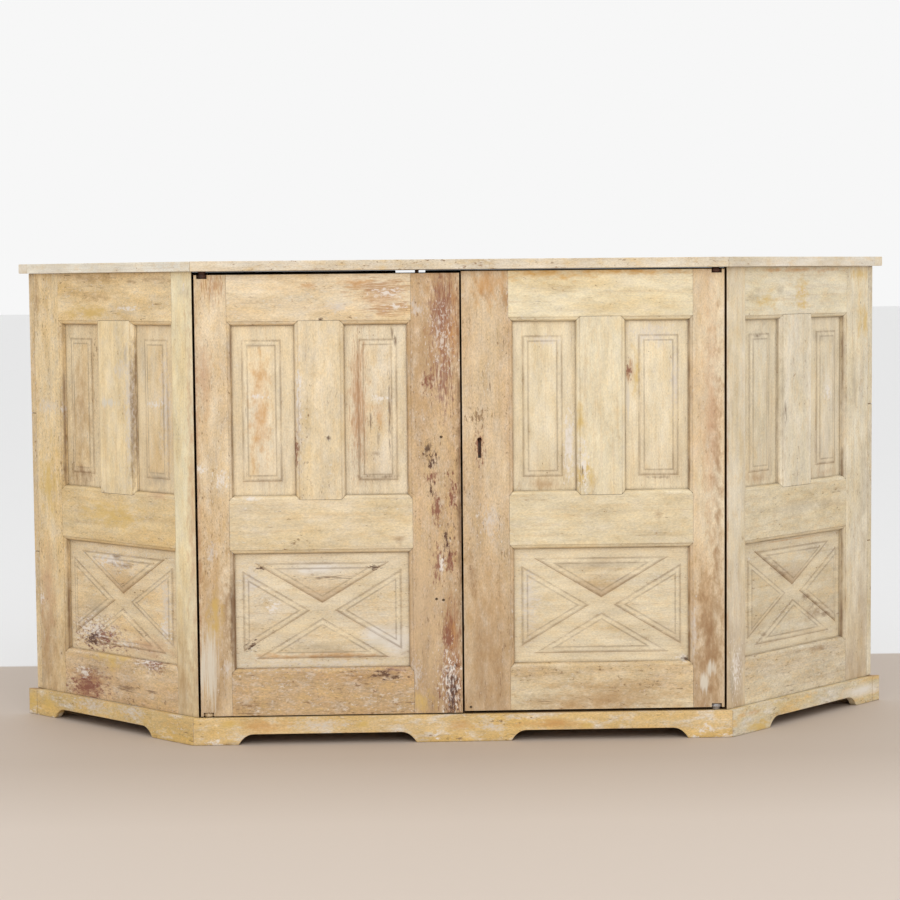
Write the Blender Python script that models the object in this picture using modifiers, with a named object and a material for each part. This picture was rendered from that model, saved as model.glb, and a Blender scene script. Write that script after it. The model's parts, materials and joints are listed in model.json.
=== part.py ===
# Painted pine buffet cabinet: a shallow cupboard with canted ends, two panelled doors on iron
# pivots, a plinth with shaped cut-outs and a plain top with a narrow edging.
# The front faces -Y, +Z is up, and the origin is on the floor under the middle of the cabinet.

import math

import bmesh
import bpy
from mathutils import Matrix, Vector

# Whole cabinet
HEIGHT = 1.000
FRONT_WIDTH = 1.100          # across the front, from one canted corner to the other
DEPTH = 0.387                # from the door faces to the back
CANT_ANGLE = 45.0            # degrees between the back and a canted side
FIT = 0.0003                 # gap left between pieces that touch

# Top
TOP_THICK = 0.0205
TOP_FRONT_OVERHANG = 0.020
TOP_SIDE_OVERHANG = 0.0155
LIPPING_WIDTH = 0.018
REAR_STRIP_WIDTH = 0.021

# Plinth and bottom
PLINTH_HEIGHT = 0.057
PLINTH_FRONT_PROUD = 0.008   # how far the plinth stands out from the doors
PLINTH_SIDE_PROUD = 0.014    # and from the canted sides
PLINTH_LAP = 0.004           # how far the plinth boards reach in under the carcass
BACK_PLINTH_THICK = 0.020
CUTOUT_HEIGHT = 0.022
CUTOUT_SHOULDER = 0.031      # run of the rounded end of a cut-out
CUTOUT_SPRING = 35.0         # degrees at which that curve leaves the floor
CORNER_FOOT = 0.094
CENTRE_FOOT = 0.198
SIDE_FRONT_FOOT = 0.133
SIDE_REAR_FOOT = 0.065
BOTTOM_THICK = 0.020

# Back, shelf and bearers
BACK_THICK = 0.012
BACK_BOARDS = ("lower", "middle", "upper")
CHIP_X = -0.095              # middle of the piece broken out of the top edge of the back
CHIP_WIDTH = 0.066
CHIP_HEIGHT = 0.005
SHELF_HEIGHT = 0.486
SHELF_THICK = 0.020
SHELF_STOP_GAP = 0.001       # from the shelf's edge to the back of the shut doors
BEARER = 0.022

# Frames of the doors and of the canted sides
FRAME_THICK = 0.024
BOTTOM_RAIL = 0.0985
SIDE_BOTTOM_RAIL = 0.1015
LOWER_OPENING = 0.238
MID_RAIL = 0.1215
TOP_RAIL = 0.1045            # of a door; a side's top rail takes what its openings leave
HINGE_STILE = 0.0745
LEFT_MEETING_STILE = 0.1095
RIGHT_MEETING_STILE = 0.1055
DOOR_MUNTIN = 0.104
SIDE_FRONT_STILE = 0.073
SIDE_REAR_STILE = 0.0945
SIDE_MUNTIN = 0.122
MOULDING_WIDTH = 0.0095
MOULDING_STEP = 0.0012
MOULDING_DEPTH = 0.0085
TENON_LENGTH = 0.034
MUNTIN_TENON = 0.020
TENON_INSET = 0.012

# Panels
PANEL_RECESS = 0.012         # from the frame's face to the flat of the panel
PANEL_THICK = 0.007
GROOVE_DEPTH = 0.008
GROOVE_SLACK = 0.0008
FIELD_STILE_MARGIN = 0.0195  # from the opening's edge at a stile to a raised field
FIELD_MUNTIN_MARGIN = 0.0265
FIELD_END_MARGIN = 0.029
FIELD_STEP = 0.0012
FIELD_BEVEL = 0.0145
FIELD_RISE = 0.0045
CROSS_SIDE_BORDER = 0.0155   # from the opening's edge to the triangles of a cross
CROSS_END_BORDER = 0.0195
CROSS_BAND = 0.027

# Doors and their pivots
HINGE_GAP = 0.005
MEETING_GAP = 0.004
DOOR_PLAY = 0.010            # height of the doorway less the height of a door
LEFT_LIFT = 0.0025           # gap under the left door, which has dropped
RIGHT_LIFT = 0.006
PIVOT_INSET = 0.016          # from the door's outer edge to the pin
PIVOT_SETBACK = 0.012        # from the door's face to the pin
PIN_RADIUS = 0.00325
PIN_BITE = 0.010             # length of pin in the board above or below
COLLAR_RADIUS = 0.008
KNUCKLE_RADIUS = 0.0115
KNUCKLE_HEIGHT = 0.0075
KNUCKLE_ROUND = 0.0045       # rounding of the end that is sunk in the stile
MOUTH_STEP = 0.0012          # how much narrower than the knuckle's seat its opening in the door's face is
STRAP_END_GAP = 0.008        # wood left in the stile beyond the strap
STRAP_WIDTH = 0.014
STRAP_THICK = 0.003
SWING_CLEARANCE = 0.003

# Lock of the right door
KEYHOLE_EDGE = 0.0353        # from the meeting edge to the middle of the keyhole
KEYHOLE_HEIGHT = 0.5655      # from the foot of the right door to the round head
KEYHOLE_RADIUS = 0.0045
KEYHOLE_SLOT = 0.0065
KEYHOLE_DROP = 0.038         # from the head's middle to the foot of the slot
KEYHOLE_IN_CASE = 0.004
LOCK_WIDTH = 0.064
LOCK_HEIGHT = 0.092
LOCK_DEPTH = 0.012
LOCK_ABOVE_HEAD = 0.026
LOCK_BOLT_RISE = 0.014       # bolt's middle above the round head
LOCK_BOLT_HEIGHT = 0.013
LOCK_BOLT_THICK = 0.005
LOCK_BOLT_LENGTH = 0.046
LOCK_BOLT_TRAVEL = 0.011
LOCK_BOLT_REST = 0.0005      # how far the drawn bolt lies inside the lock's edge
RUNNING_GAP = 0.0004

# Slide bolt on the inside of the left door
SLIDE_X = -0.088
ROD_RADIUS = 0.004
ROD_LENGTH = 0.150
ROD_HEADROOM = 0.001         # from the drawn rod's tip to the underside of the top
ROD_TRAVEL = 0.013
ROD_HOLE_PLAY = 0.002        # the hole in the top is bored this much wide of the rod all round
PLATE_WIDTH = 0.022
PLATE_HEIGHT = 0.112
PLATE_THICK = 0.002
PLATE_DROP = 0.012           # from the door's top edge to the top of the plate
GUIDE_HEIGHT = 0.012
GUIDE_WALL = 0.003
KNOB_RADIUS = 0.006
KNOB_REACH = 0.016
KNOB_DROP = 0.082            # from the rod's tip to its knob

# Sizes that follow from those above
CANT = math.radians(CANT_ANGLE)
FRONT_HALF = FRONT_WIDTH / 2
Y_BACK = (DEPTH + TOP_FRONT_OVERHANG) / 2
Y_FRONT = Y_BACK - DEPTH
TOP_UNDERSIDE = HEIGHT - TOP_THICK
DOOR_HEIGHT = TOP_UNDERSIDE - PLINTH_HEIGHT - DOOR_PLAY
DOOR_WIDTH = FRONT_HALF - HINGE_GAP - MEETING_GAP / 2
UPPER_OPENING = DOOR_HEIGHT - BOTTOM_RAIL - LOWER_OPENING - MID_RAIL - TOP_RAIL
SIDE_WIDTH = (DEPTH - BACK_THICK - FIT) / math.sin(CANT)
SIDE_HEIGHT = TOP_UNDERSIDE - PLINTH_HEIGHT - 2 * FIT
PIVOT_X = FRONT_HALF - HINGE_GAP - PIVOT_INSET
PIVOT_Y = Y_FRONT + PIVOT_SETBACK
STRAP_LENGTH = HINGE_STILE - MOULDING_WIDTH - PIVOT_INSET - STRAP_END_GAP
TONGUE_FRONT = PANEL_RECESS + FIT
TONGUE_BACK = TONGUE_FRONT + PANEL_THICK
ROD_Y = Y_FRONT + FRAME_THICK + FIT + PLATE_THICK + RUNNING_GAP + ROD_RADIUS
ROD_TIP = TOP_UNDERSIDE - ROD_HEADROOM

# Paint and metal seen on the pieces
TOP_PAINT = ("DDCDB2", 0.62)
PLINTH_PAINT = ("D3B381", 0.60)
LEFT_SIDE_PAINT = ("D8BC91", 0.60)
RIGHT_SIDE_PAINT = ("D7C6A9", 0.62)
LEFT_DOOR_PAINT = ("DCC29E", 0.60)
RIGHT_DOOR_PAINT = ("DAC39D", 0.60)
BARE_PINE = ("B08A5C", 0.75)
IRON = ("3A2C26", 0.65)


# Scene, collections and materials
for old in list(bpy.data.objects):
    bpy.data.objects.remove(old, do_unlink=True)
parts = bpy.data.collections.new("buffet_cabinet")
cutters = bpy.data.collections.new("cutters")
bpy.context.scene.collection.children.link(parts)
bpy.context.scene.collection.children.link(cutters)


def linear(code):
    """A hex colour as the linear values that a shader takes."""
    values = [int(code[i:i + 2], 16) / 255 for i in (0, 2, 4)]
    return [v / 12.92 if v <= 0.04045 else ((v + 0.055) / 1.055) ** 2.4 for v in values]


def finish(obj, look, metallic=0.0):
    """Gives a piece its own material."""
    code, roughness = look
    material = bpy.data.materials.new(obj.name)
    material.use_nodes = True
    shader = material.node_tree.nodes["Principled BSDF"]
    shader.inputs["Base Color"].default_value = (*linear(code), 1.0)
    shader.inputs["Roughness"].default_value = roughness
    shader.inputs["Metallic"].default_value = metallic
    obj.data.materials.append(material)
    return obj


# Shapes that the pieces are made of
def as_helper(obj):
    """Keeps a shape that only cuts or joins out of the finished cabinet."""
    obj.hide_render = True
    obj.display_type = "WIRE"


def add_object(name, mesh, helper=False):
    obj = bpy.data.objects.new(name, mesh)
    (cutters if helper else parts).objects.link(obj)
    if helper:
        as_helper(obj)
    return obj


def from_bmesh(name, bm, helper=False):
    bm.normal_update()
    bmesh.ops.recalc_face_normals(bm, faces=bm.faces)
    mesh = bpy.data.meshes.new(name)
    bm.to_mesh(mesh)
    bm.free()
    return add_object(name, mesh, helper)


def block(name, low, high, helper=False):
    """A rectangular block between two opposite corners."""
    low = Vector(low)
    high = Vector(high)
    bm = bmesh.new()
    bmesh.ops.create_cube(bm, size=1.0)
    bmesh.ops.scale(bm, vec=high - low, verts=bm.verts)
    bmesh.ops.translate(bm, vec=(low + high) / 2, verts=bm.verts)
    return from_bmesh(name, bm, helper)


def rod(name, radius, start, end, helper=False, sides=24):
    """A round bar from one point to another."""
    start = Vector(start)
    end = Vector(end)
    bm = bmesh.new()
    bmesh.ops.create_cone(bm, cap_ends=True, segments=sides, radius1=radius, radius2=radius,
                          depth=(end - start).length)
    turn = (end - start).to_track_quat("Z", "Y").to_matrix().to_4x4()
    bm.transform(Matrix.Translation((start + end) / 2) @ turn)
    return from_bmesh(name, bm, helper)


def board(name, outline, start, thick, upright=False):
    """A board cut to a flat outline: lying, drawn in plan and rising from a height,
    or upright, drawn in elevation and running back from a depth."""
    curve = bpy.data.curves.new(name, "CURVE")
    curve.dimensions = "2D"
    curve.fill_mode = "BOTH"
    curve.extrude = thick / 2
    spline = curve.splines.new("POLY")
    spline.points.add(len(outline) - 1)
    for point, (across, along) in zip(spline.points, outline):
        point.co = (across, along, 0.0, 1.0)
    spline.use_cyclic_u = True
    drawn = bpy.data.objects.new(name + "_outline", curve)
    cutters.objects.link(drawn)
    graph = bpy.context.evaluated_depsgraph_get()
    mesh = bpy.data.meshes.new_from_object(drawn.evaluated_get(graph))
    bpy.data.objects.remove(drawn)
    middle = start + thick / 2
    if upright:
        place = Matrix.Translation((0, middle, 0)) @ Matrix.Rotation(math.pi / 2, 4, "X")
    else:
        place = Matrix.Translation((0, 0, middle))
    bm = bmesh.new()
    bm.from_mesh(mesh)
    bmesh.ops.remove_doubles(bm, verts=bm.verts, dist=1e-5)
    bmesh.ops.dissolve_limit(bm, angle_limit=0.001, verts=bm.verts, edges=bm.edges)
    bm.transform(place)
    return from_bmesh(name, bm)


def turned(name, profile, sides=24):
    """A turned shape from (radius, height) points that run down its outer side."""
    bm = bmesh.new()
    points = [bm.verts.new((radius, 0, height)) for radius, height in profile]
    for first, second in zip(points, points[1:]):
        bm.edges.new((first, second))
    mesh = bpy.data.meshes.new(name)
    bm.to_mesh(mesh)
    bm.free()
    obj = add_object(name, mesh)
    screw = obj.modifiers.new("turn", "SCREW")
    screw.steps = sides
    screw.render_steps = sides
    screw.use_merge_vertices = True
    screw.merge_threshold = 0.00005
    return obj


def cut(obj, cutter):
    boolean = obj.modifiers.new("cut", "BOOLEAN")
    boolean.operation = "DIFFERENCE"
    boolean.object = cutter


def join(obj, piece):
    boolean = obj.modifiers.new("join", "BOOLEAN")
    boolean.operation = "UNION"
    boolean.object = piece


def attach(parent, offset, *objects):
    for obj in objects:
        obj.parent = parent
        obj.location = offset


def pivot_empty(name, location, turn=0.0):
    empty = bpy.data.objects.new(name, None)
    empty.location = location
    empty.rotation_euler = (0, 0, turn)
    parts.objects.link(empty)
    return empty


# Plan of the cabinet: offsets are measured outwards from the doors and from the canted sides
def side_x(y, offset):
    """Where a line parallel to the right-hand cant lies at a given depth."""
    return FRONT_HALF + (y - Y_FRONT) / math.tan(CANT) + offset / math.sin(CANT)


def strip(front, back, side_offset):
    """Outline of a board across the cabinet whose ends follow the cants."""
    front_x = side_x(front, side_offset)
    back_x = side_x(back, side_offset)
    return [(-front_x, front), (front_x, front), (back_x, back), (-back_x, back)]


def mirrored(outline):
    return [(-x, y) for x, y in outline]


# Top: one board, a rear strip and an edging that is mitred at the front corners
top_rear = Y_BACK - REAR_STRIP_WIDTH - FIT
lip_front = TOP_FRONT_OVERHANG - LIPPING_WIDTH
lip_side = TOP_SIDE_OVERHANG - LIPPING_WIDTH
top_outline = strip(Y_FRONT - lip_front + FIT, top_rear, lip_side - FIT)
top_board = board("top_board", top_outline, TOP_UNDERSIDE, TOP_THICK)
rear_outline = strip(Y_BACK - REAR_STRIP_WIDTH, Y_BACK, TOP_SIDE_OVERHANG)
rear_strip = board("top_rear_strip", rear_outline, TOP_UNDERSIDE, TOP_THICK)
outer_y = Y_FRONT - TOP_FRONT_OVERHANG
inner_y = Y_FRONT - lip_front
outer_x = side_x(outer_y, TOP_SIDE_OVERHANG)
inner_x = side_x(inner_y, lip_side)
front_edge = [(-outer_x + FIT, outer_y), (outer_x - FIT, outer_y),
              (inner_x - FIT, inner_y), (-inner_x + FIT, inner_y)]
side_edge = [(outer_x, outer_y), (side_x(top_rear, TOP_SIDE_OVERHANG), top_rear),
             (side_x(top_rear, lip_side), top_rear), (inner_x, inner_y)]
lipping_front = board("top_lipping_front", front_edge, TOP_UNDERSIDE, TOP_THICK)
lipping_right = board("top_lipping_right", side_edge, TOP_UNDERSIDE, TOP_THICK)
lipping_left = board("top_lipping_left", mirrored(side_edge), TOP_UNDERSIDE, TOP_THICK)
for piece in (top_board, rear_strip, lipping_front, lipping_left, lipping_right):
    finish(piece, TOP_PAINT)


# Plinth: four boards, with shaped cut-outs that leave feet
def cutout(start, end):
    """Outline of a cut-out from foot to foot: a curved shoulder, a flat head, a curved shoulder."""
    spring = math.radians(CUTOUT_SPRING)
    steps = 6
    shoulder = []
    for i in range(steps + 1):
        angle = spring + (math.pi / 2 - spring) * i / steps
        run = CUTOUT_SHOULDER * (math.cos(spring) - math.cos(angle)) / math.cos(spring)
        rise = CUTOUT_HEIGHT * (math.sin(angle) - math.sin(spring)) / (1 - math.sin(spring))
        shoulder.append((run, rise))
    rising = [(start + run, rise) for run, rise in shoulder]
    falling = [(end - run, rise) for run, rise in reversed(shoulder)]
    return rising + falling


def move_end(obj, end_x, inner_x, inner_depth):
    """Cuts a board's end at an angle by moving the end of its inner face."""
    for vertex in obj.data.vertices:
        if abs(vertex.co.x - end_x) < 1e-6 and abs(vertex.co.y - inner_depth) < 1e-6:
            vertex.co.x = inner_x


plinth_front_y = Y_FRONT - PLINTH_FRONT_PROUD
plinth_inner_y = Y_FRONT + PLINTH_LAP
corner_x = side_x(plinth_front_y, PLINTH_SIDE_PROUD)
corner_inner_x = side_x(plinth_inner_y, -PLINTH_LAP)
front_outline = [(-corner_x + FIT, 0)]
front_outline += cutout(-corner_x + CORNER_FOOT, -CENTRE_FOOT / 2)
front_outline += cutout(CENTRE_FOOT / 2, corner_x - CORNER_FOOT)
front_outline += [(corner_x - FIT, 0), (corner_x - FIT, PLINTH_HEIGHT), (-corner_x + FIT, PLINTH_HEIGHT)]
front_thick = PLINTH_FRONT_PROUD + PLINTH_LAP
plinth_front = board("plinth_front", front_outline, plinth_front_y, front_thick, upright=True)
for sign in (-1, 1):
    move_end(plinth_front, sign * (corner_x - FIT), sign * (corner_inner_x - FIT), plinth_inner_y)
finish(plinth_front, PLINTH_PAINT)

back_plinth_y = Y_BACK - BACK_PLINTH_THICK
plinth_back = board("plinth_back", strip(back_plinth_y, Y_BACK, PLINTH_SIDE_PROUD), 0, PLINTH_HEIGHT)
finish(plinth_back, PLINTH_PAINT)


def along_cant(y, offset):
    """Distance along the cant from the front corner to where a parallel line reaches a depth."""
    return (y - Y_FRONT + offset * math.cos(CANT)) / math.sin(CANT)


right_side = pivot_empty("right_side", (FRONT_HALF, Y_FRONT, 0), CANT)
left_side = pivot_empty("left_side", (-FRONT_HALF, Y_FRONT, 0), -CANT)
side_thick = PLINTH_SIDE_PROUD + PLINTH_LAP
for side, parent, sign in (("left", left_side, -1), ("right", right_side, 1)):
    start = along_cant(plinth_front_y, PLINTH_SIDE_PROUD)
    inner_start = along_cant(plinth_inner_y, -PLINTH_LAP)
    end = along_cant(back_plinth_y - FIT, PLINTH_SIDE_PROUD)
    inner_end = along_cant(back_plinth_y - FIT, -PLINTH_LAP)
    outline = [(start, 0)] + cutout(start + SIDE_FRONT_FOOT, end - SIDE_REAR_FOOT)
    outline += [(end, 0), (end, PLINTH_HEIGHT), (start, PLINTH_HEIGHT)]
    outline = [(sign * u, z) for u, z in outline]
    piece = board("plinth_" + side, outline, -PLINTH_SIDE_PROUD, side_thick, upright=True)
    move_end(piece, sign * start, sign * inner_start, PLINTH_LAP)
    move_end(piece, sign * end, sign * inner_end, PLINTH_LAP)
    attach(parent, (0, 0, 0), piece)
    finish(piece, PLINTH_PAINT)


# Bottom board, held at its edges by the plinth boards
bottom_outline = strip(plinth_inner_y + FIT, back_plinth_y - FIT, -PLINTH_LAP - FIT)
bottom = board("bottom_board", bottom_outline, PLINTH_HEIGHT - BOTTOM_THICK, BOTTOM_THICK)
finish(bottom, BARE_PINE)

# Back: wide boards laid across and nailed to the rear stiles, with a chip out of the top edge
back_foot = PLINTH_HEIGHT + FIT
back_head = TOP_UNDERSIDE - FIT
back_step = (back_head - back_foot + FIT) / len(BACK_BOARDS)
back_outline = strip(Y_BACK - BACK_THICK, Y_BACK, 0)
for i, level in enumerate(BACK_BOARDS):
    piece = board("back_board_" + level, back_outline, back_foot + i * back_step, back_step - FIT)
    finish(piece, BARE_PINE)
chip = block("back_chip", (CHIP_X - CHIP_WIDTH / 2, Y_BACK - 2 * BACK_THICK, back_head - CHIP_HEIGHT),
             (CHIP_X + CHIP_WIDTH / 2, Y_BACK + BACK_THICK, back_head + CHIP_HEIGHT), helper=True)
cut(piece, chip)

# Shelf on two bearers: its front edge stops the doors, and its corners clear their hinge ends
swing = math.hypot(PIVOT_INSET, FRAME_THICK - PIVOT_SETBACK) + SWING_CLEARANCE
shelf_front = Y_FRONT + FRAME_THICK + SHELF_STOP_GAP
shelf_corner = PIVOT_Y + swing
shelf_back = Y_BACK - BACK_THICK - FIT
shelf_x = PIVOT_X - swing
right_half = [(shelf_x, shelf_front), (shelf_x, shelf_corner),
              (side_x(shelf_corner, -FRAME_THICK - FIT), shelf_corner),
              (side_x(shelf_back, -FRAME_THICK - FIT), shelf_back)]
shelf_outline = right_half + mirrored(reversed(right_half))
shelf = board("shelf", shelf_outline, SHELF_HEIGHT - SHELF_THICK, SHELF_THICK)
finish(shelf, BARE_PINE)
bearer_top = SHELF_HEIGHT - SHELF_THICK - FIT
for side, parent, sign in (("left", left_side, -1), ("right", right_side, 1)):
    ends = sorted((sign * SIDE_FRONT_STILE, sign * (SIDE_WIDTH - SIDE_REAR_STILE)))
    bearer = block("shelf_bearer_" + side, (ends[0], FRAME_THICK + FIT, bearer_top - BEARER),
                   (ends[1], FRAME_THICK + FIT + BEARER, bearer_top))
    attach(parent, (0, 0, 0), bearer)
    finish(bearer, BARE_PINE)


# Framed and panelled work, used for both doors and both canted sides.
# x runs from the left edge, y back from the face and z up from the foot of the frame.
def moulded_edge(spans, flat, opening, notch=0.0):
    """Points along an edge that reaches in by the moulding beside each opening, mitred at its ends.
    Between two openings the edge is notched a little deeper than its flat."""
    points = []
    for number, (start, end) in enumerate(spans):
        before = flat if number == 0 else flat + notch
        after = flat if number == len(spans) - 1 else flat + notch
        points += [(start - MOULDING_WIDTH, before), (start, opening)]
        points += [(end, opening), (end + MOULDING_WIDTH, after)]
    return points


def swapped(points):
    return [(second, first) for first, second in points]


def moulding_cutter(name, opening):
    """What the plane takes off round an opening: a step and a rounded edge, mitred at the corners."""
    left, right, foot, head = opening
    centre = Vector(((left + right) / 2, 0, (foot + head) / 2))
    reach = MOULDING_WIDTH - FIT
    round_run = reach - MOULDING_STEP
    round_fall = MOULDING_DEPTH - MOULDING_STEP
    profile = [(reach, -MOULDING_DEPTH)]
    steps = 4
    for i in range(steps + 1):
        angle = math.pi / 2 * i / steps
        profile.append((reach - round_run * math.sin(angle), MOULDING_DEPTH - round_fall * math.cos(angle)))
    bm = bmesh.new()
    bmesh.ops.create_cube(bm, size=0.001)
    bmesh.ops.translate(bm, verts=bm.verts, vec=centre)
    bm.normal_update()
    face = max(bm.faces, key=lambda f: f.normal.y)
    rings = [[v for v in bm.verts if v not in face.verts], list(face.verts)]
    for extra, depth in profile:
        if rings:
            ring = rings.pop(0)
        else:
            face = bmesh.ops.extrude_discrete_faces(bm, faces=[face])["faces"][0]
            ring = face.verts
        for vertex in ring:
            side = 1 if vertex.co.x > centre.x else -1
            rise = 1 if vertex.co.z > centre.z else -1
            vertex.co = (centre.x + side * ((right - left) / 2 + extra), depth,
                         centre.z + rise * ((head - foot) / 2 + extra))
    return from_bmesh(name, bm, helper=True)


def raised_field(name, outline):
    """A field that stands on a panel: a small step, then a bevelled edge and a flat top."""
    bm = bmesh.new()
    bm.faces.new([bm.verts.new((x, TONGUE_FRONT + PANEL_THICK / 2, z)) for x, z in outline])
    made = bmesh.ops.extrude_face_region(bm, geom=list(bm.faces))
    lifted = [item for item in made["geom"] if isinstance(item, bmesh.types.BMVert)]
    for vertex in lifted:
        vertex.co.y = TONGUE_FRONT - FIELD_STEP
    top = next(f for f in bm.faces if all(v in f.verts for v in lifted))
    bmesh.ops.inset_region(bm, faces=[top], thickness=FIELD_BEVEL, use_even_offset=True)
    for vertex in top.verts:
        vertex.co.y = TONGUE_FRONT - FIELD_RISE
    return from_bmesh(name, bm, helper=True)


def rectangle_field(opening, muntin_on_right):
    """A field's outline in an upper opening: it lies nearer the stile than the muntin."""
    left, right, foot, head = opening
    margins = (FIELD_STILE_MARGIN, FIELD_MUNTIN_MARGIN)
    left_margin, right_margin = margins if muntin_on_right else margins[::-1]
    left += left_margin
    right -= right_margin
    foot += FIELD_END_MARGIN
    head -= FIELD_END_MARGIN
    return [(left, foot), (right, foot), (right, head), (left, head)]


def cross_fields(opening):
    """Four triangles that leave an X and a border between them."""
    left, right, foot, head = opening
    x = (left + right) / 2
    z = (foot + head) / 2
    half_x = (right - left) / 2 - CROSS_SIDE_BORDER
    half_z = (head - foot) / 2 - CROSS_END_BORDER
    slope = half_z / half_x
    apex_z = CROSS_BAND / 2 * math.hypot(1, slope)
    apex_x = CROSS_BAND / 2 * math.hypot(1, 1 / slope)
    base_x = (half_z - apex_z) / slope
    base_z = (half_x - apex_x) * slope
    return {
        "head": [(x, z + apex_z), (x + base_x, z + half_z), (x - base_x, z + half_z)],
        "foot": [(x, z - apex_z), (x - base_x, z - half_z), (x + base_x, z - half_z)],
        "right": [(x + apex_x, z), (x + half_x, z - base_z), (x + half_x, z + base_z)],
        "left": [(x - apex_x, z), (x - half_x, z + base_z), (x - half_x, z - base_z)],
    }


def framed(name, parent, offset, width, height, stiles, muntin, bottom_rail, leans, look):
    """Two stiles, three rails, a muntin and three panels, with mortises, tenons and grooves.
    stiles names and sizes the left and right stile, leans slopes their outer edges with depth."""
    (left_name, left_width), (right_name, right_width) = stiles
    left = left_width
    right = width - right_width
    left_flat = left - MOULDING_WIDTH
    right_flat = right + MOULDING_WIDTH
    lower = (bottom_rail, bottom_rail + LOWER_OPENING)
    upper = (lower[1] + MID_RAIL, lower[1] + MID_RAIL + UPPER_OPENING)
    muntin_left = (left + right - muntin) / 2
    muntin_right = (left + right + muntin) / 2
    openings = {
        "lower": (left, right, *lower),
        "upper_left": (left, muntin_left, *upper),
        "upper_right": (muntin_right, right, *upper),
    }
    whole = [(left + FIT, right - FIT)]
    halves = [(left + FIT, muntin_left - FIT), (muntin_right + FIT, right - FIT)]

    def member(piece, outline):
        return board(name + "_" + piece, outline, 0, FRAME_THICK, upright=True)

    heights = [(lower[0] + FIT, lower[1] - FIT), (upper[0] + FIT, upper[1] - FIT)]
    left_edge = swapped(moulded_edge(heights, left_flat, left))
    right_edge = swapped(moulded_edge(heights, right_flat, right))
    left_outline = [(0, 0), (left_flat, 0)] + left_edge + [(left_flat, height), (0, height)]
    right_outline = [(width, 0), (right_flat, 0)] + right_edge + [(right_flat, height), (width, height)]
    left_stile = member(left_name, left_outline)
    right_stile = member(right_name, right_outline)
    for vertex in left_stile.data.vertices:
        if abs(vertex.co.x) < 1e-6:
            vertex.co.x += leans[0] * vertex.co.y
    for vertex in right_stile.data.vertices:
        if abs(vertex.co.x - width) < 1e-6:
            vertex.co.x -= leans[1] * vertex.co.y

    foot_edge = moulded_edge(whole, lower[0] - MOULDING_WIDTH, lower[0])
    bottom = member("bottom_rail", [(left_flat + FIT, 0)] + foot_edge + [(right_flat - FIT, 0)])
    mid_low = moulded_edge(whole, lower[1] + MOULDING_WIDTH, lower[1])
    mid_high = moulded_edge(halves, upper[0] - MOULDING_WIDTH, upper[0], -FIT)
    middle = member("mid_rail", mid_low + mid_high[::-1])
    head_edge = moulded_edge(halves, upper[1] + MOULDING_WIDTH, upper[1], FIT)
    top = member("top_rail", head_edge + [(right_flat - FIT, height), (left_flat + FIT, height)])
    muntin_edges = swapped(moulded_edge(heights[1:], muntin_left + MOULDING_WIDTH, muntin_left))
    muntin_edges += swapped(moulded_edge(heights[1:], muntin_right - MOULDING_WIDTH, muntin_right))[::-1]
    upright = member("muntin", muntin_edges)
    members = [left_stile, right_stile, bottom, middle, top, upright]

    helpers = []

    def helper_block(piece, spans):
        """A block that cuts or joins, from its spans along x, y and z."""
        low, high = zip(*spans)
        made = block(name + "_" + piece, low, high, helper=True)
        helpers.append(made)
        return made

    tongue = (TONGUE_FRONT, TONGUE_BACK)
    groove = (TONGUE_FRONT - FIT, TONGUE_BACK + FIT)
    rails = {
        "bottom": (bottom, 0, lower[0] - MOULDING_WIDTH),
        "mid": (middle, lower[1] + MOULDING_WIDTH, upper[0] - MOULDING_WIDTH),
        "top": (top, upper[1] + MOULDING_WIDTH, height),
    }
    for rail_name, (rail, foot, head) in rails.items():
        foot += TENON_INSET
        head -= TENON_INSET
        ends = ((left_stile, left_flat, -1), (right_stile, right_flat, 1))
        for stile, shoulder, sign in ends:
            root = shoulder - sign * TENON_INSET
            reach = sorted((root, shoulder + sign * TENON_LENGTH))
            join(rail, helper_block(rail_name + "_tenon", (reach, tongue, (foot, head))))
            reach = sorted((root, shoulder + sign * (TENON_LENGTH + FIT)))
            cut(stile, helper_block(rail_name + "_mortise", (reach, groove, (foot - FIT, head + FIT))))
    tenon_left = muntin_left + MOULDING_WIDTH + TENON_INSET
    tenon_right = muntin_right - MOULDING_WIDTH - TENON_INSET
    ends = ((middle, upper[0] - MOULDING_WIDTH, -1), (top, upper[1] + MOULDING_WIDTH, 1))
    for rail, shoulder, sign in ends:
        root = shoulder - sign * TENON_INSET
        reach = sorted((root, shoulder + sign * MUNTIN_TENON))
        join(upright, helper_block("muntin_tenon", ((tenon_left, tenon_right), tongue, reach)))
        reach = sorted((root, shoulder + sign * (MUNTIN_TENON + FIT)))
        cut(rail, helper_block("muntin_mortise", ((tenon_left - FIT, tenon_right + FIT), groove, reach)))

    bordering = {
        "lower": (left_stile, right_stile, bottom, middle),
        "upper_left": (left_stile, middle, top, upright),
        "upper_right": (right_stile, middle, top, upright),
    }
    edge = GROOVE_DEPTH - GROOVE_SLACK
    for place, opening in openings.items():
        x0, x1, z0, z1 = opening
        moulding = moulding_cutter(name + "_" + place + "_moulding", opening)
        helpers.append(moulding)
        across = (x0 - GROOVE_DEPTH, x1 + GROOVE_DEPTH)
        along = (z0 - GROOVE_DEPTH, z1 + GROOVE_DEPTH)
        groove_cutter = helper_block(place + "_groove", (across, groove, along))
        for piece in bordering[place]:
            cut(piece, moulding)
            cut(piece, groove_cutter)
        panel = block(name + "_" + place + "_panel", (x0 - edge, TONGUE_FRONT, z0 - edge),
                      (x1 + edge, TONGUE_BACK, z1 + edge))
        if place == "lower":
            fields = cross_fields(opening)
        else:
            fields = {"middle": rectangle_field(opening, muntin_on_right=place == "upper_left")}
        for spot, outline in fields.items():
            field = raised_field(name + "_" + place + "_field_" + spot, outline)
            helpers.append(field)
            join(panel, field)
        members.append(panel)
    attach(parent, offset, *members, *helpers)
    for piece in members:
        finish(piece, look)
    return {"left_stile": left_stile, "right_stile": right_stile}


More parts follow.
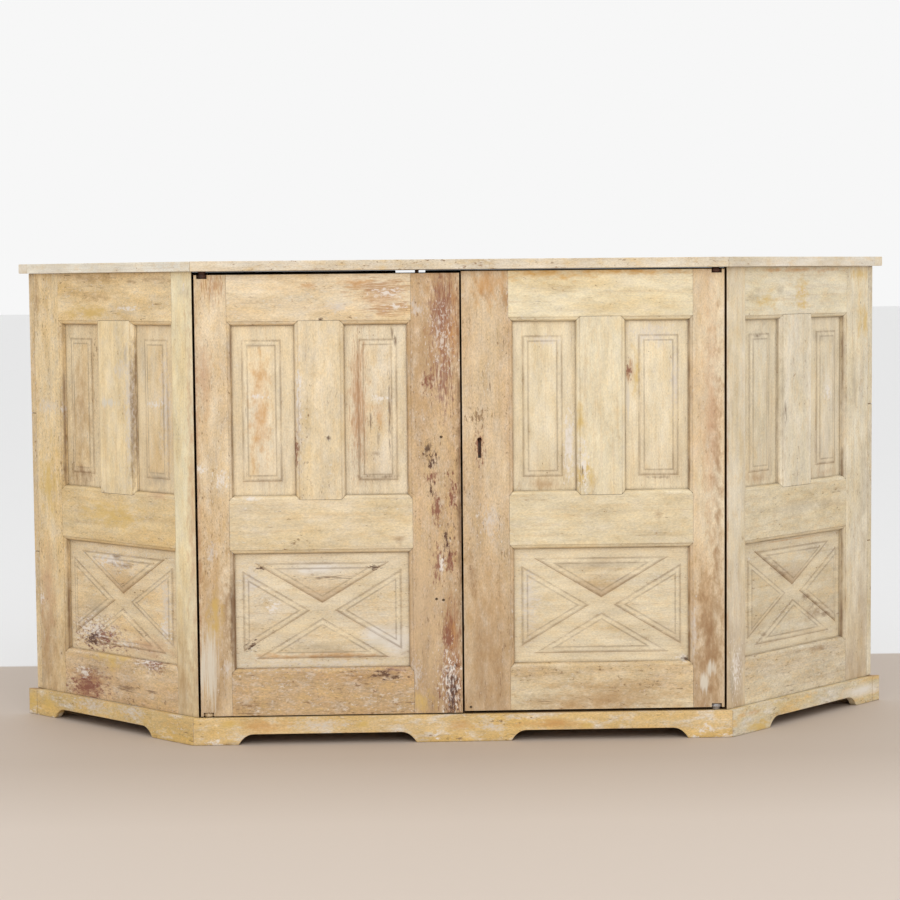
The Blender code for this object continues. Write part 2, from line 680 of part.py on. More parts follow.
# Canted sides: their front edges stand square to the doors, their rear edges lie against the back
front_stile = ("front_stile", SIDE_FRONT_STILE)
rear_stile = ("rear_stile", SIDE_REAR_STILE)
front_lean = math.tan(CANT)
rear_lean = 1 / math.tan(CANT)
side_foot = PLINTH_HEIGHT + FIT
framed("right_side", right_side, (0, 0, side_foot), SIDE_WIDTH, SIDE_HEIGHT,
       (front_stile, rear_stile), SIDE_MUNTIN, SIDE_BOTTOM_RAIL, (front_lean, rear_lean), RIGHT_SIDE_PAINT)
framed("left_side", left_side, (-SIDE_WIDTH, 0, side_foot), SIDE_WIDTH, SIDE_HEIGHT,
       (rear_stile, front_stile), SIDE_MUNTIN, SIDE_BOTTOM_RAIL, (rear_lean, front_lean), LEFT_SIDE_PAINT)

# Doors: each hangs from an empty on the line of its pivot pins
hinge_stile = ("hinge_stile", HINGE_STILE)
left_meeting_stile = ("meeting_stile", LEFT_MEETING_STILE)
right_meeting_stile = ("meeting_stile", RIGHT_MEETING_STILE)
left_door = pivot_empty("left_door", (-PIVOT_X, PIVOT_Y, 0))
right_door = pivot_empty("right_door", (PIVOT_X, PIVOT_Y, 0))
left_foot = PLINTH_HEIGHT + LEFT_LIFT
right_foot = PLINTH_HEIGHT + RIGHT_LIFT
left_corner = Vector((-PIVOT_INSET, -PIVOT_SETBACK, left_foot))
right_corner = Vector((PIVOT_INSET - DOOR_WIDTH, -PIVOT_SETBACK, right_foot))
left_made = framed("left_door", left_door, left_corner, DOOR_WIDTH, DOOR_HEIGHT,
                   (hinge_stile, left_meeting_stile), DOOR_MUNTIN, BOTTOM_RAIL, (0, 0), LEFT_DOOR_PAINT)
right_made = framed("right_door", right_door, right_corner, DOOR_WIDTH, DOOR_HEIGHT,
                    (right_meeting_stile, hinge_stile), DOOR_MUNTIN, BOTTOM_RAIL, (0, 0), RIGHT_DOOR_PAINT)


# Pivots: a knuckle and a strap let into each end of the hinge stile, with a collar and a pin
def pivot(name, parent, stile, board_piece, edge, way, gap, inward):
    """way is +1 at the head of a door and -1 at its foot, inward points along the strap."""
    pin_end = gap + PIN_BITE
    collar = gap - FIT
    profile = [(0, pin_end), (PIN_RADIUS, pin_end), (PIN_RADIUS, collar), (COLLAR_RADIUS, collar),
               (COLLAR_RADIUS, 0), (KNUCKLE_RADIUS, 0)]
    steps = 3
    for i in range(steps + 1):
        angle = math.pi / 2 * i / steps
        profile.append((KNUCKLE_RADIUS - KNUCKLE_ROUND * (1 - math.cos(angle)),
                        KNUCKLE_ROUND * (1 - math.sin(angle)) - KNUCKLE_HEIGHT))
    profile.append((0, -KNUCKLE_HEIGHT))
    piece = turned(name, profile)
    half = STRAP_WIDTH / 2
    x0, x1 = sorted((0, inward * STRAP_LENGTH))
    strap = block(name + "_strap", (x0, -half, -STRAP_THICK), (x1, half, -FIT), helper=True)
    join(piece, strap)
    piece_turn = 0 if way > 0 else math.pi
    strap_seat = sorted((0, inward * (STRAP_LENGTH + FIT)))
    seat = block(name + "_strap_seat", (strap_seat[0], -half - FIT, -STRAP_THICK - FIT),
                 (strap_seat[1], half + FIT, STRAP_THICK), helper=True)
    notch = KNUCKLE_RADIUS + FIT
    depth = KNUCKLE_HEIGHT + FIT
    socket = rod(name + "_socket", notch, (0, 0, -depth), (0, 0, depth), helper=True)
    mouth_half = notch - MOUTH_STEP
    mouth = block(name + "_mouth", (-mouth_half, -way * (PIVOT_SETBACK + notch), -depth),
                  (mouth_half, 0, depth), helper=True)
    hole = rod(name + "_hole", PIN_RADIUS + FIT, (0, 0, 0), (0, 0, pin_end + FIT), helper=True)
    attach(parent, (0, 0, edge), piece, strap, seat, socket, mouth, hole)
    for item in (piece, strap, seat, socket, mouth, hole):
        item.rotation_euler = (piece_turn, 0, 0)
    for cutter in (seat, socket, mouth):
        cut(stile, cutter)
    cut(board_piece, hole)
    finish(piece, IRON, metallic=0.8)


for side, parent, stile, foot, inward in (
        ("left", left_door, left_made["left_stile"], left_foot, 1),
        ("right", right_door, right_made["right_stile"], right_foot, -1)):
    head = foot + DOOR_HEIGHT
    pivot(side + "_door_upper_pivot", parent, stile, top_board, head, 1, TOP_UNDERSIDE - head, inward)
    pivot(side + "_door_lower_pivot", parent, stile, bottom, foot, -1, foot - PLINTH_HEIGHT, inward)

# Lock let into the back of the right door's meeting stile, with a bolt that slides to the left
lock_left = right_corner.x
lock_back = FRAME_THICK - PIVOT_SETBACK
lock_front = lock_back - LOCK_DEPTH
head_z = right_foot + KEYHOLE_HEIGHT
lock_top = head_z + LOCK_ABOVE_HEAD
lock_foot = lock_top - LOCK_HEIGHT
case = block("lock_case", (lock_left, lock_front, lock_foot),
             (lock_left + LOCK_WIDTH, lock_back, lock_top))
pocket = block("lock_pocket", (lock_left - LOCK_WIDTH, lock_front - FIT, lock_foot - FIT),
               (lock_left + LOCK_WIDTH + FIT, lock_back + LOCK_DEPTH, lock_top + FIT), helper=True)
bolt_z = head_z + LOCK_BOLT_RISE
bolt_y = (lock_front + lock_back) / 2
half_z = LOCK_BOLT_HEIGHT / 2
half_y = LOCK_BOLT_THICK / 2
bolt_left = lock_left + LOCK_BOLT_REST
bolt_right = bolt_left + LOCK_BOLT_LENGTH
bolt = block("lock_bolt", (bolt_left, bolt_y - half_y, bolt_z - half_z),
             (bolt_right, bolt_y + half_y, bolt_z + half_z))
way_y = half_y + RUNNING_GAP
way_z = half_z + RUNNING_GAP
channel = block("lock_channel", (lock_left - LOCK_WIDTH, bolt_y - way_y, bolt_z - way_z),
                (bolt_right + RUNNING_GAP, bolt_y + way_y, bolt_z + way_z), helper=True)
key_x = lock_left + KEYHOLE_EDGE
key_front = -2 * PIVOT_SETBACK
key_back = lock_front + KEYHOLE_IN_CASE
key_head = rod("keyhole_head", KEYHOLE_RADIUS, (key_x, key_front, head_z), (key_x, key_back, head_z),
               helper=True)
key_slot = block("keyhole_slot", (key_x - KEYHOLE_SLOT / 2, key_front, head_z - KEYHOLE_DROP),
                 (key_x + KEYHOLE_SLOT / 2, key_back, head_z), helper=True)
attach(right_door, (0, 0, 0), case, pocket, bolt, channel, key_head, key_slot)
cut(right_made["left_stile"], pocket)
cut(case, channel)
for cutter in (key_head, key_slot):
    cut(right_made["left_stile"], cutter)
    cut(case, cutter)
finish(case, IRON, metallic=0.8)
finish(bolt, IRON, metallic=0.8)

# Mortise in the left door's meeting edge for the lock's bolt
edge_x = left_corner.x + DOOR_WIDTH
bite = LOCK_BOLT_TRAVEL - MEETING_GAP - LOCK_BOLT_REST + RUNNING_GAP
keep = block("lock_keep", (edge_x - bite, bolt_y - way_y, bolt_z - way_z),
             (edge_x + bite, bolt_y + way_y, bolt_z + way_z), helper=True)
attach(left_door, (0, 0, 0), keep)
cut(left_made["right_stile"], keep)

# Slide bolt: a plate with two guides on the left door, and a rod with a knob that slides up into the top
plate_back = Y_FRONT + FRAME_THICK + FIT
plate_top = left_foot + DOOR_HEIGHT - PLATE_DROP
plate = block("left_door_bolt_plate", (SLIDE_X - PLATE_WIDTH / 2, plate_back, plate_top - PLATE_HEIGHT),
              (SLIDE_X + PLATE_WIDTH / 2, plate_back + PLATE_THICK, plate_top))
guide_half = ROD_RADIUS + RUNNING_GAP + GUIDE_WALL
helpers = []
guide_tops = {
    "upper": plate_top - GUIDE_WALL,
    "lower": plate_top - PLATE_HEIGHT + GUIDE_WALL + GUIDE_HEIGHT,
}
for level, guide_top in guide_tops.items():
    guide_foot = (SLIDE_X - guide_half, plate_back + PLATE_THICK / 2, guide_top - GUIDE_HEIGHT)
    guide_head = (SLIDE_X + guide_half, ROD_Y + guide_half, guide_top)
    guide = block("bolt_guide_" + level, guide_foot, guide_head, helper=True)
    join(plate, guide)
    helpers.append(guide)
bore = rod("bolt_bore", ROD_RADIUS + RUNNING_GAP, (SLIDE_X, ROD_Y, plate_top - 2 * PLATE_HEIGHT),
           (SLIDE_X, ROD_Y, plate_top + PLATE_HEIGHT), helper=True)
cut(plate, bore)
slide = rod("left_door_bolt", ROD_RADIUS, (SLIDE_X, ROD_Y, ROD_TIP - ROD_LENGTH), (SLIDE_X, ROD_Y, ROD_TIP))
knob = rod("bolt_knob", KNOB_RADIUS, (SLIDE_X, ROD_Y, ROD_TIP - KNOB_DROP),
           (SLIDE_X, ROD_Y + KNOB_REACH, ROD_TIP - KNOB_DROP), helper=True)
join(slide, knob)
hole = rod("bolt_hole", ROD_RADIUS + ROD_HOLE_PLAY, (SLIDE_X, ROD_Y, ROD_TIP),
           (SLIDE_X, ROD_Y, ROD_TIP + ROD_TRAVEL + RUNNING_GAP), helper=True)
cut(top_board, hole)
attach(left_door, (PIVOT_X, -PIVOT_Y, 0), plate, slide, bore, knob, hole, *helpers)
finish(plate, IRON, metallic=0.8)
finish(slide, IRON, metallic=0.8)

# Round pieces are shaded smooth
for piece in parts.objects:
    if piece.type == "MESH" and piece.name.endswith(("pivot", "bolt", "plate")):
        piece.data.shade_smooth()
        piece.data.set_sharp_from_angle(angle=math.radians(35))
bpy.context.view_layer.update()
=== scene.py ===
# Painted pine buffet cabinet: worn cream paint on pine boards, rusted iron pivots, lock and bolt,
# bare wood inside and behind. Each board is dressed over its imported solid, in the same frame.
import json
import math

import bpy
from mathutils import Matrix, Vector

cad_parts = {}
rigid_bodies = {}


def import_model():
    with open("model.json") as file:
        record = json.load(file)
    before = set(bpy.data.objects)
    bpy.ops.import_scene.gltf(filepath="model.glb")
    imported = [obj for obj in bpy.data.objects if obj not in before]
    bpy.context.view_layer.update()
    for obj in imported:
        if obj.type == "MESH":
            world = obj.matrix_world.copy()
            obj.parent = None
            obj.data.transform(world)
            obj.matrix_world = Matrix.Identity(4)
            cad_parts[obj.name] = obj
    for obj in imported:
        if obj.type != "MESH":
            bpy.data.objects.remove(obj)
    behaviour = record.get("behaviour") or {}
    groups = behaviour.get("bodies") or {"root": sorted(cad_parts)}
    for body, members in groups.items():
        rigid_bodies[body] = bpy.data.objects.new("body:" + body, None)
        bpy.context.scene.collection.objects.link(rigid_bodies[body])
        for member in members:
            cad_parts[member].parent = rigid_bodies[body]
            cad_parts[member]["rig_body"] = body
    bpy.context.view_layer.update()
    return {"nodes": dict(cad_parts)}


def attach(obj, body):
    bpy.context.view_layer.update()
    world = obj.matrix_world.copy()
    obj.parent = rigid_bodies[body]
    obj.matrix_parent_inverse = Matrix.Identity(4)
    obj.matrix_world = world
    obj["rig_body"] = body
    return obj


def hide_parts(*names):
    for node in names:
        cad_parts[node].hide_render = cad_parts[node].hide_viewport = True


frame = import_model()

# Camera: it stands where the photograph was taken from, a little left of the middle and just under
# the height of the top, turned slightly right and down. The lens follows from the picture's width.
PICTURE_WIDTH = 900            # pixels
FOCAL_PIXELS = 2298.3          # pixels
SENSOR_WIDTH = 36.0            # mm
CAMERA_PLACE = Vector((-0.1847, -4.908, 0.9652))
CAMERA_YAW = -0.03404          # radians, to the right
CAMERA_PITCH = 0.07547         # radians, downwards
CAMERA_ROLL = -0.00925         # radians
level_right = Vector((math.cos(CAMERA_YAW), math.sin(CAMERA_YAW), 0))
ahead = Vector((-math.sin(CAMERA_YAW) * math.cos(CAMERA_PITCH),
                math.cos(CAMERA_YAW) * math.cos(CAMERA_PITCH), -math.sin(CAMERA_PITCH)))
level_up = level_right.cross(ahead)
camera_right = math.cos(CAMERA_ROLL) * level_right + math.sin(CAMERA_ROLL) * level_up
camera_up = math.cos(CAMERA_ROLL) * level_up - math.sin(CAMERA_ROLL) * level_right
lens = bpy.data.cameras.new("camera")
lens.sensor_width = SENSOR_WIDTH
lens.lens = FOCAL_PIXELS * SENSOR_WIDTH / PICTURE_WIDTH
camera = bpy.data.objects.new("camera", lens)
bpy.context.scene.collection.objects.link(camera)
camera.matrix_world = (Matrix.Translation(CAMERA_PLACE)
                       @ Matrix((camera_right, camera_up, -ahead)).transposed().to_4x4())
bpy.context.scene.camera = camera

# Plinth: pine boards under the front and the canted ends, sawn out between the feet, with rough
# old paint in ochre and white. A plain back board closes it. They are nailed on from outside.
# A face is a plane of the cabinet seen from outside: its turn, and the corner it is measured from.
CANT = math.radians(45)
FRONT_HALF = 0.55              # m, half the width between the canted corners
DOOR_FACE_Y = -0.1835          # m
FRONT = (0.0, Vector((0, DOOR_FACE_Y, 0)))
LEFT_CANT = (-CANT, Vector((-FRONT_HALF, DOOR_FACE_Y, 0)))
RIGHT_CANT = (CANT, Vector((FRONT_HALF, DOOR_FACE_Y, 0)))


def seen(face, px, py):
    """How far along a face, and how high, a spot of the photograph lies."""
    turn, corner = face
    along = Vector((math.cos(turn), math.sin(turn), 0))
    outward = Vector((math.sin(turn), -math.cos(turn), 0))
    half = PICTURE_WIDTH / 2
    ray = ahead + camera_right * (px - half) / FOCAL_PIXELS + camera_up * (half - py) / FOCAL_PIXELS
    spot = CAMERA_PLACE + ray * ((corner - CAMERA_PLACE).dot(outward) / ray.dot(outward))
    return (spot - corner).dot(along), spot.z


def linear(shade):
    """A colour written as sRGB hex, as the linear colour that a shader takes."""
    parts = [int(shade[i:i + 2], 16) / 255 for i in (1, 3, 5)]
    return tuple(p / 12.92 if p <= 0.04045 else ((p + 0.055) / 1.055) ** 2.4 for p in parts) + (1.0,)


def add(tree, kind, feeds, out=0, **settings):
    """Adds a node with its settings and what feeds it, and gives back one of its outputs."""
    node = tree.nodes.new("ShaderNode" + kind)
    for name, value in settings.items():
        setattr(node, name, value)
    for socket, value in feeds.items():
        if isinstance(value, bpy.types.NodeSocket):
            tree.links.new(value, node.inputs[socket])
        else:
            node.inputs[socket].default_value = value
    return node.outputs[out] if node.outputs else node


# Marks of wear and stains, and of painted shadow: colour, the noise that breaks it up, how ragged,
# how full at its middle, how soft, how strong, and how deep the paint is lost
MARKS = {
    "tan": ("#AE8659", "mottle", 3.0, 1.00, 1.30, 0.60, 0.0),
    "pink": ("#C79C7E", "mottle", 3.0, 1.00, 1.30, 0.60, 0.0),
    "blush": ("#AA7853", "mottle", 2.5, 1.05, 0.90, 0.80, 0.2),
    # painted shadow, along the mouldings and beside the door gaps
    "shadow": ("#6E4E34", "mottle", 2.0, 1.00, 0.80, 0.70, 0.0),
    "brown": ("#8E6744", "mottle", 3.5, 0.90, 1.20, 0.55, 0.0),
    "grey": ("#B5AA96", "mottle", 3.0, 1.00, 1.20, 0.60, 0.0),
    "yellow": ("#DDBB68", "mottle", 3.0, 1.00, 1.00, 0.70, 0.0),
    "orange": ("#CC9350", "mottle", 3.0, 1.00, 1.10, 0.65, 0.0),
    "amber": ("#DDA952", "mottle", 4.0, 0.95, 1.30, 0.80, 0.0),
    "lilac": ("#DFD6CC", "fleck", 5.0, 0.95, 1.10, 0.70, 0.2),
    "scuff": ("#E4DBC9", "streak", 3.5, 0.95, 0.60, 0.90, 0.3),
    "mauve": ("#A17C6C", "flake", 6.0, 0.95, 1.10, 0.75, 0.6),
    "streaked": ("#BC8C60", "dash", 5.5, 0.85, 0.90, 0.70, 0.8),
    "red": ("#8A5340", "flake", 6.0, 0.95, 0.80, 0.85, 1.0),
    "reddish": ("#935E42", "dash", 6.0, 0.80, 0.80, 0.75, 1.0),
    "pale": ("#DCC3A0", "mottle", 2.5, 1.00, 1.20, 0.60, 0.0),
    "bleached": ("#EFE8DC", "mottle", 2.0, 1.05, 0.80, 0.92, 0.0),
    "specks": ("#EADFD3", "fleck", 8.0, 0.30, 0.60, 0.65, 0.3),
    "white": ("#F2EAE0", "fleck", 6.5, 0.75, 0.80, 0.85, 0.4),
    "dark": ("#553529", "flake", 6.5, 0.80, 0.70, 0.90, 1.0),
    "knot": ("#573B28", "flake", 3.5, 0.85, 0.60, 0.90, 0.3),
    "seam": ("#7E5F45", "mottle", 3.0, 0.80, 0.90, 0.65, 0.8),
    "crack": ("#6E503A", "dash", 3.5, 0.75, 0.70, 0.70, 1.0),
    "peck": ("#86643F", "flake", 8.0, 0.50, 0.60, 0.75, 0.8),
}
UNDERCOAT = "#EAE2D5"
WORN_PINE = "#BE9768"
OLD_PINE = "#8F6846"
BRUSHED = "#C7A26E"
YELLOWED = "#E3BE78"
FLAT_CREAM = "#EBDCBC"
# painted shade on the bevels of the raised panels that look down
DOWNWARD_BEVEL_SHADE = "#A98359"
# colour of the painted shade and grime in inner corners and joints
GRIME_AND_SHADE = "#5E4A30"
# colour of the painted shade and grime in the lines of the mouldings
LINE = "#7A5B3C"
PIT = "#84623F"
SOIL = "#A8845C"
PAINT_LIFT = (1.16, 1.24, 1.32)
PALEST_PAINT = 0.95
ROUGH_PAINT = 0.55
ROUGH_WOOD = 0.78
PAINT_IOR = 1.5
# Noises in the paint: size across and along the grain in metres, and how many times it is refined.
# The finest are drawn coarser than real, to show.
PAINT_NOISES = {
    "tone": (0.060, 0.24, 2), "streak": (0.0060, 0.15, 3), "flake": (0.0055, 0.013, 6),
    "fleck": (0.0048, 0.010, 6), "patch": (0.030, 0.10, 3), "fine": (0.0024, 0.005, 2),
    "dash": (0.0024, 0.028, 2),
}
MOTTLE_SIZE = (0.015, 0.034)   # m across and along the grain
MOTTLE_DETAIL = 3
PAINT_CRISPNESS = 0.70
PAINT_STRIDE = (7.3, 3.1, 5.7)   # how far apart in the noise two boards lie
# Layers of the paint: the noise at which one begins, that at which it is full, and its strength where
# that is the same on every board
DRIFT = (0.40, 0.66, 0.80)
YELLOWING = (0.50, 0.68)
BLEACHING = (0.47, 0.30)
BRUSH_STREAKS = (0.50, 0.75, 0.32)
FLOOR_DIRT = (0.0, 0.60)
# painted shade and grime in inner corners, darker where less open air is around a point
CORNER_GRIME_AND_SHADE = (0.85, 0.30, 0.52)
# Wear that begins sooner on a worse board: its start, how much sooner, how far on it is full, strength
TO_UNDERCOAT = (0.83, 0.18, 0.09, 0.70)
TO_WOOD = (0.85, 0.18, 0.08, 0.75)
PITS = (0.87, 0.25, 0.07, 0.75)
DASHES = (0.97, 0.24, 0.07, 0.70)
NOISE_LOW = 0.30               # most of a noise lies between these two
NOISE_HIGH = 0.70
CLOUD_PALE = 1.11
CLOUD_DARK = 0.86
LEAST_MOTTLE = 0.16
MOTTLE_OF_WEAR = 0.70
LEAST_GRAIN = 0.07
GRAIN_OF_PITS = 0.26
PALE_GRAIN = 0.85              # how strong the pale grains are beside the dark ones
PATCHY_WEAR = 0.35
PATCHY_PITS = 0.30
PATCHY_DASHES = 0.40
ARRIS_REACH = 0.0025           # m
ARRIS_TURN = (0.99, 0.70)      # cosine of the turn where wear on an arris begins and is full
GRIME_AND_SHADE_REACH = 0.007            # m
STREAK_RELIEF = 0.60
PAINT_BUMP = 0.45
PAINT_BUMP_HEIGHT = 0.0007     # m
# Lines of painted shade and grime on a raised panel: how deep below the face, how far each way, how
# strong
PLAIN_LINES = ()
PANEL_LINES = ((0.0107, 0.0008, 0.55), (0.0084, 0.00058, 0.55))
BROKEN_LINES = (0.35, 0.60)
FAINTEST_LINE = 0.40
FIELD_TOP = 0.0079             # m below the face, a hair under the top of a raised field
FIELD_EDGE = 0.0004            # m
FIELD_STRENGTH = 0.40
SHADED_BEVEL_TILT = (-0.04, -0.20)    # upward part of the normal where the painted shade on bevels that look down begins and is full
BEVEL_SHADE_STRENGTH = {"across": 0.58, "up": 0.30}
SOIL_TOP = 0.42                # m above the floor, where the dirt of the floor begins to show
SOIL_FOOT = 0.06               # m


def clean(shade):
    """The colour of unworn paint, from the colour that a worn board has on average."""
    parts = [min(part * lift, PALEST_PAINT) for part, lift in zip(linear(shade), PAINT_LIFT)]
    return (*parts, 1.0)


def blank(name):
    """A new material with no nodes in it, and its node tree."""
    material = bpy.data.materials.new(name)
    material.use_nodes = True
    material.node_tree.nodes.clear()
    return material, material.node_tree


def measured(tree, face):
    """Where a point lies on a face in metres: along it, into it and up."""
    turn, corner = face
    shift = -(Matrix.Rotation(-turn, 3, "Z") @ corner)
    place = add(tree, "TexCoord", {}, out="Object")
    return add(tree, "Mapping", {"Vector": place, "Location": shift, "Rotation": (0, 0, -turn)})


def grown(tree, board, grain, noises, seed, stride, step, crispness):
    """Noises that are drawn out along the grain of a board."""
    fields = {}
    x, y, z = [seed * part for part in stride]
    for field, (across, along, detail) in noises.items():
        wide, long = 1 / across, 1 / along
        scale = (wide, wide, long) if grain == "up" else (long, wide, wide)
        spread = add(tree, "Mapping", {"Vector": board, "Scale": scale,
                                       "Location": (x, y, z + step * len(fields))})
        fields[field] = add(tree, "TexNoise", {"Vector": spread, "Scale": 1.0, "Detail": detail,
                                               "Roughness": crispness})
    return fields


def lay(tree, skin, field, low, high, most, shade):
    """Lays a colour over the skin, from a low to a high value of a field. Gives the skin and the
    mask."""
    mask = add(tree, "MapRange", {"Value": field, "From Min": low, "From Max": high, "To Max": most})
    return add(tree, "Mix", {0: mask, 6: skin, 7: shade}, out=2, data_type="RGBA"), mask


def sooner(start, ease, width, most, share):
    """Where a kind of wear begins and is full, and its strength, on a board with this share of it."""
    start -= ease * share
    return start, start + width, most


def marked(tree, board, face, fields, marks, skin, loss):
    """The marks that belong to one board alone: ovals in the photograph's pixels, with ragged edges."""
    for kind, (shade, field, ragged, core, soft, strength, deep) in MARKS.items():
        nearest = None
        for x0, y0, x1, y1 in [oval for what, *oval in marks if what == kind]:
            left, foot = seen(face, x0, y1)
            right, head = seen(face, x1, y0)
            half_wide, half_high = (right - left) / 2, (head - foot) / 2
            scaled = add(tree, "Mapping", {
                "Vector": board, "Scale": (1 / half_wide, 0, 1 / half_high),
                "Location": (-(left + right) / 2 / half_wide, 0, -(foot + head) / 2 / half_high)})
            reach = add(tree, "VectorMath", {0: scaled}, out="Value", operation="LENGTH")
            if nearest is not None:
                reach = add(tree, "Math", {0: nearest, 1: reach}, operation="MINIMUM")
            nearest = reach
        if nearest is None:
            continue
        edge = add(tree, "Math", {0: fields[field], 1: ragged, 2: core - ragged / 2},
                   operation="MULTIPLY_ADD")
        within = add(tree, "Math", {0: edge, 1: nearest}, operation="SUBTRACT")
        skin, mask = lay(tree, skin, within, 0.0, soft, strength, linear(shade))
        if deep:
            lost = add(tree, "Math", {0: mask, 1: deep}, operation="MULTIPLY")
            loss = add(tree, "Math", {0: loss, 1: lost}, operation="MAXIMUM")
    return skin, loss


def old_paint(name, face, grain, paint, drift, wear, pits, marks, seed, lines=PLAIN_LINES, soil=0.0,
              mottle=None, mottle_size=MOTTLE_SIZE, edges=0.12):
    """Brushed oil paint on pine, a century old: matt, streaked along the grain, thin on the arrises,
    flaked to a white undercoat and to brown wood, with painted shade and grime in the corners and along
    the mouldings, and painted shade on the bevels that look down."""
    material, tree = blank(name)
    board = measured(tree, face)
    depth = add(tree, "SeparateXYZ", {"Vector": board}, out="Y")
    height = add(tree, "SeparateXYZ", {"Vector": board}, out="Z")
    raised = lines == PANEL_LINES
    noises = {**PAINT_NOISES, "mottle": (*mottle_size, MOTTLE_DETAIL)}
    fields = grown(tree, board, grain, noises, seed, PAINT_STRIDE, 1, PAINT_CRISPNESS)
    if mottle is None:
        mottle = LEAST_MOTTLE + MOTTLE_OF_WEAR * wear
    # Paint, drifting in tone, yellowed and bleached in patches, streaked by the brush
    skin, _ = lay(tree, clean(paint), fields["tone"], *DRIFT, clean(drift))
    skin, _ = lay(tree, skin, fields["mottle"], *YELLOWING, mottle, linear(YELLOWED))
    skin, _ = lay(tree, skin, fields["mottle"], *BLEACHING, mottle, linear(UNDERCOAT))
    if raised:
        skin, _ = lay(tree, skin, depth, FIELD_TOP, FIELD_TOP + FIELD_EDGE, FIELD_STRENGTH,
                      linear(FLAT_CREAM))
    skin, _ = lay(tree, skin, fields["streak"], *BRUSH_STREAKS, linear(BRUSHED))
    # Clouds and fine grains, paler and darker than the paint
    grainy = LEAST_GRAIN + GRAIN_OF_PITS * pits
    cloud = add(tree, "MapRange", {"Value": fields["patch"], "From Min": NOISE_LOW,
                                   "From Max": NOISE_HIGH, "To Min": CLOUD_PALE, "To Max": CLOUD_DARK})
    speckle = add(tree, "MapRange", {"Value": fields["fine"], "From Min": NOISE_LOW,
                                     "From Max": NOISE_HIGH, "To Min": 1.0 - grainy,
                                     "To Max": 1.0 + PALE_GRAIN * grainy})
    speckle = add(tree, "Math", {0: speckle, 1: cloud}, operation="MULTIPLY")
    skin = add(tree, "VectorMath", {0: skin, "Scale": speckle}, operation="SCALE")
    if soil:
        low = add(tree, "MapRange", {"Value": height, "From Min": SOIL_TOP, "From Max": SOIL_FOOT})
        low = add(tree, "Math", {0: low, 1: fields["patch"]}, operation="MULTIPLY")
        skin, _ = lay(tree, skin, low, *FLOOR_DIRT, soil, linear(SOIL))
    facing = add(tree, "NewGeometry", {}, out="Normal")
    if raised:
        # Painted shade on the bevels that look down, in a brown tone
        tilt = add(tree, "SeparateXYZ", {"Vector": facing}, out="Z")
        skin, _ = lay(tree, skin, tilt, *SHADED_BEVEL_TILT, BEVEL_SHADE_STRENGTH[grain], linear(DOWNWARD_BEVEL_SHADE))
    # Worn along the arrises and in patches, to the undercoat and to the wood
    rounded = add(tree, "Bevel", {"Radius": ARRIS_REACH}, samples=3)
    same = add(tree, "VectorMath", {0: rounded, 1: facing}, out="Value", operation="DOT_PRODUCT")
    begins, full = ARRIS_TURN
    arris = add(tree, "MapRange", {"Value": same, "From Min": begins, "From Max": full,
                                   "To Max": edges})
    worn = add(tree, "Math", {0: fields["patch"], 1: PATCHY_WEAR, 2: arris}, operation="MULTIPLY_ADD")
    white = add(tree, "Math", {0: fields["fleck"], 1: worn}, operation="ADD")
    skin, _ = lay(tree, skin, white, *sooner(*TO_UNDERCOAT, wear), linear(UNDERCOAT))
    thin = add(tree, "Math", {0: fields["flake"], 1: worn}, operation="ADD")
    wood = add(tree, "Mix", {0: fields["streak"], 6: linear(OLD_PINE), 7: linear(WORN_PINE)}, out=2,
               data_type="RGBA")
    skin, bared = lay(tree, skin, thin, *sooner(*TO_WOOD, wear), wood)
    # Short dark pits and scratches along the grain
    clustered = add(tree, "Math", {0: fields["tone"], 1: PATCHY_PITS, 2: fields["flake"]},
                    operation="MULTIPLY_ADD")
    skin, pitted = lay(tree, skin, clustered, *sooner(*PITS, pits), linear(PIT))
    strewn = add(tree, "Math", {0: fields["patch"], 1: PATCHY_DASHES, 2: fields["dash"]},
                 operation="MULTIPLY_ADD")
    skin, dashed = lay(tree, skin, strewn, *sooner(*DASHES, pits), linear(PIT))
    loss = add(tree, "Math", {0: bared, 1: pitted}, operation="MAXIMUM")
    loss = add(tree, "Math", {0: loss, 1: dashed}, operation="MAXIMUM")
    skin, loss = marked(tree, board, face, fields, marks, skin, loss)
    # Painted shade and grime in the lines of the mouldings, and in inner corners and joints
    begins, full = BROKEN_LINES
    broken = add(tree, "MapRange", {"Value": fields["patch"], "From Min": begins, "From Max": full,
                                    "To Min": FAINTEST_LINE})
    # each line is painted shade and grime at one depth of the moulding
    for middle, each_way, strength in lines:
        off = add(tree, "Math", {0: depth, 1: middle}, operation="SUBTRACT")
        off = add(tree, "Math", {0: off}, operation="ABSOLUTE")
        line = add(tree, "MapRange", {"Value": off, "From Min": each_way, "From Max": 0.0,
                                      "To Max": strength})
        line = add(tree, "Math", {0: line, 1: broken}, operation="MULTIPLY")
        skin = add(tree, "Mix", {0: line, 6: skin, 7: linear(LINE)}, out=2, data_type="RGBA")
    open_air = add(tree, "AmbientOcclusion", {"Distance": GRIME_AND_SHADE_REACH}, out="AO", samples=4)
    skin, _ = lay(tree, skin, open_air, *CORNER_GRIME_AND_SHADE, linear(GRIME_AND_SHADE))
    rough = add(tree, "MapRange", {"Value": loss, "To Min": ROUGH_PAINT, "To Max": ROUGH_WOOD})
    relief = add(tree, "Math", {0: fields["streak"], 1: STREAK_RELIEF, 2: fields["flake"]},
                 operation="MULTIPLY_ADD")
    relief = add(tree, "Math", {0: relief, 1: loss}, operation="SUBTRACT")
    bump = add(tree, "Bump", {"Height": relief, "Strength": PAINT_BUMP, "Distance": PAINT_BUMP_HEIGHT})
    shader = add(tree, "BsdfPrincipled", {"Base Color": skin, "Roughness": rough, "Normal": bump,
                                          "IOR": PAINT_IOR})
    add(tree, "OutputMaterial", {"Surface": shader})
    return material


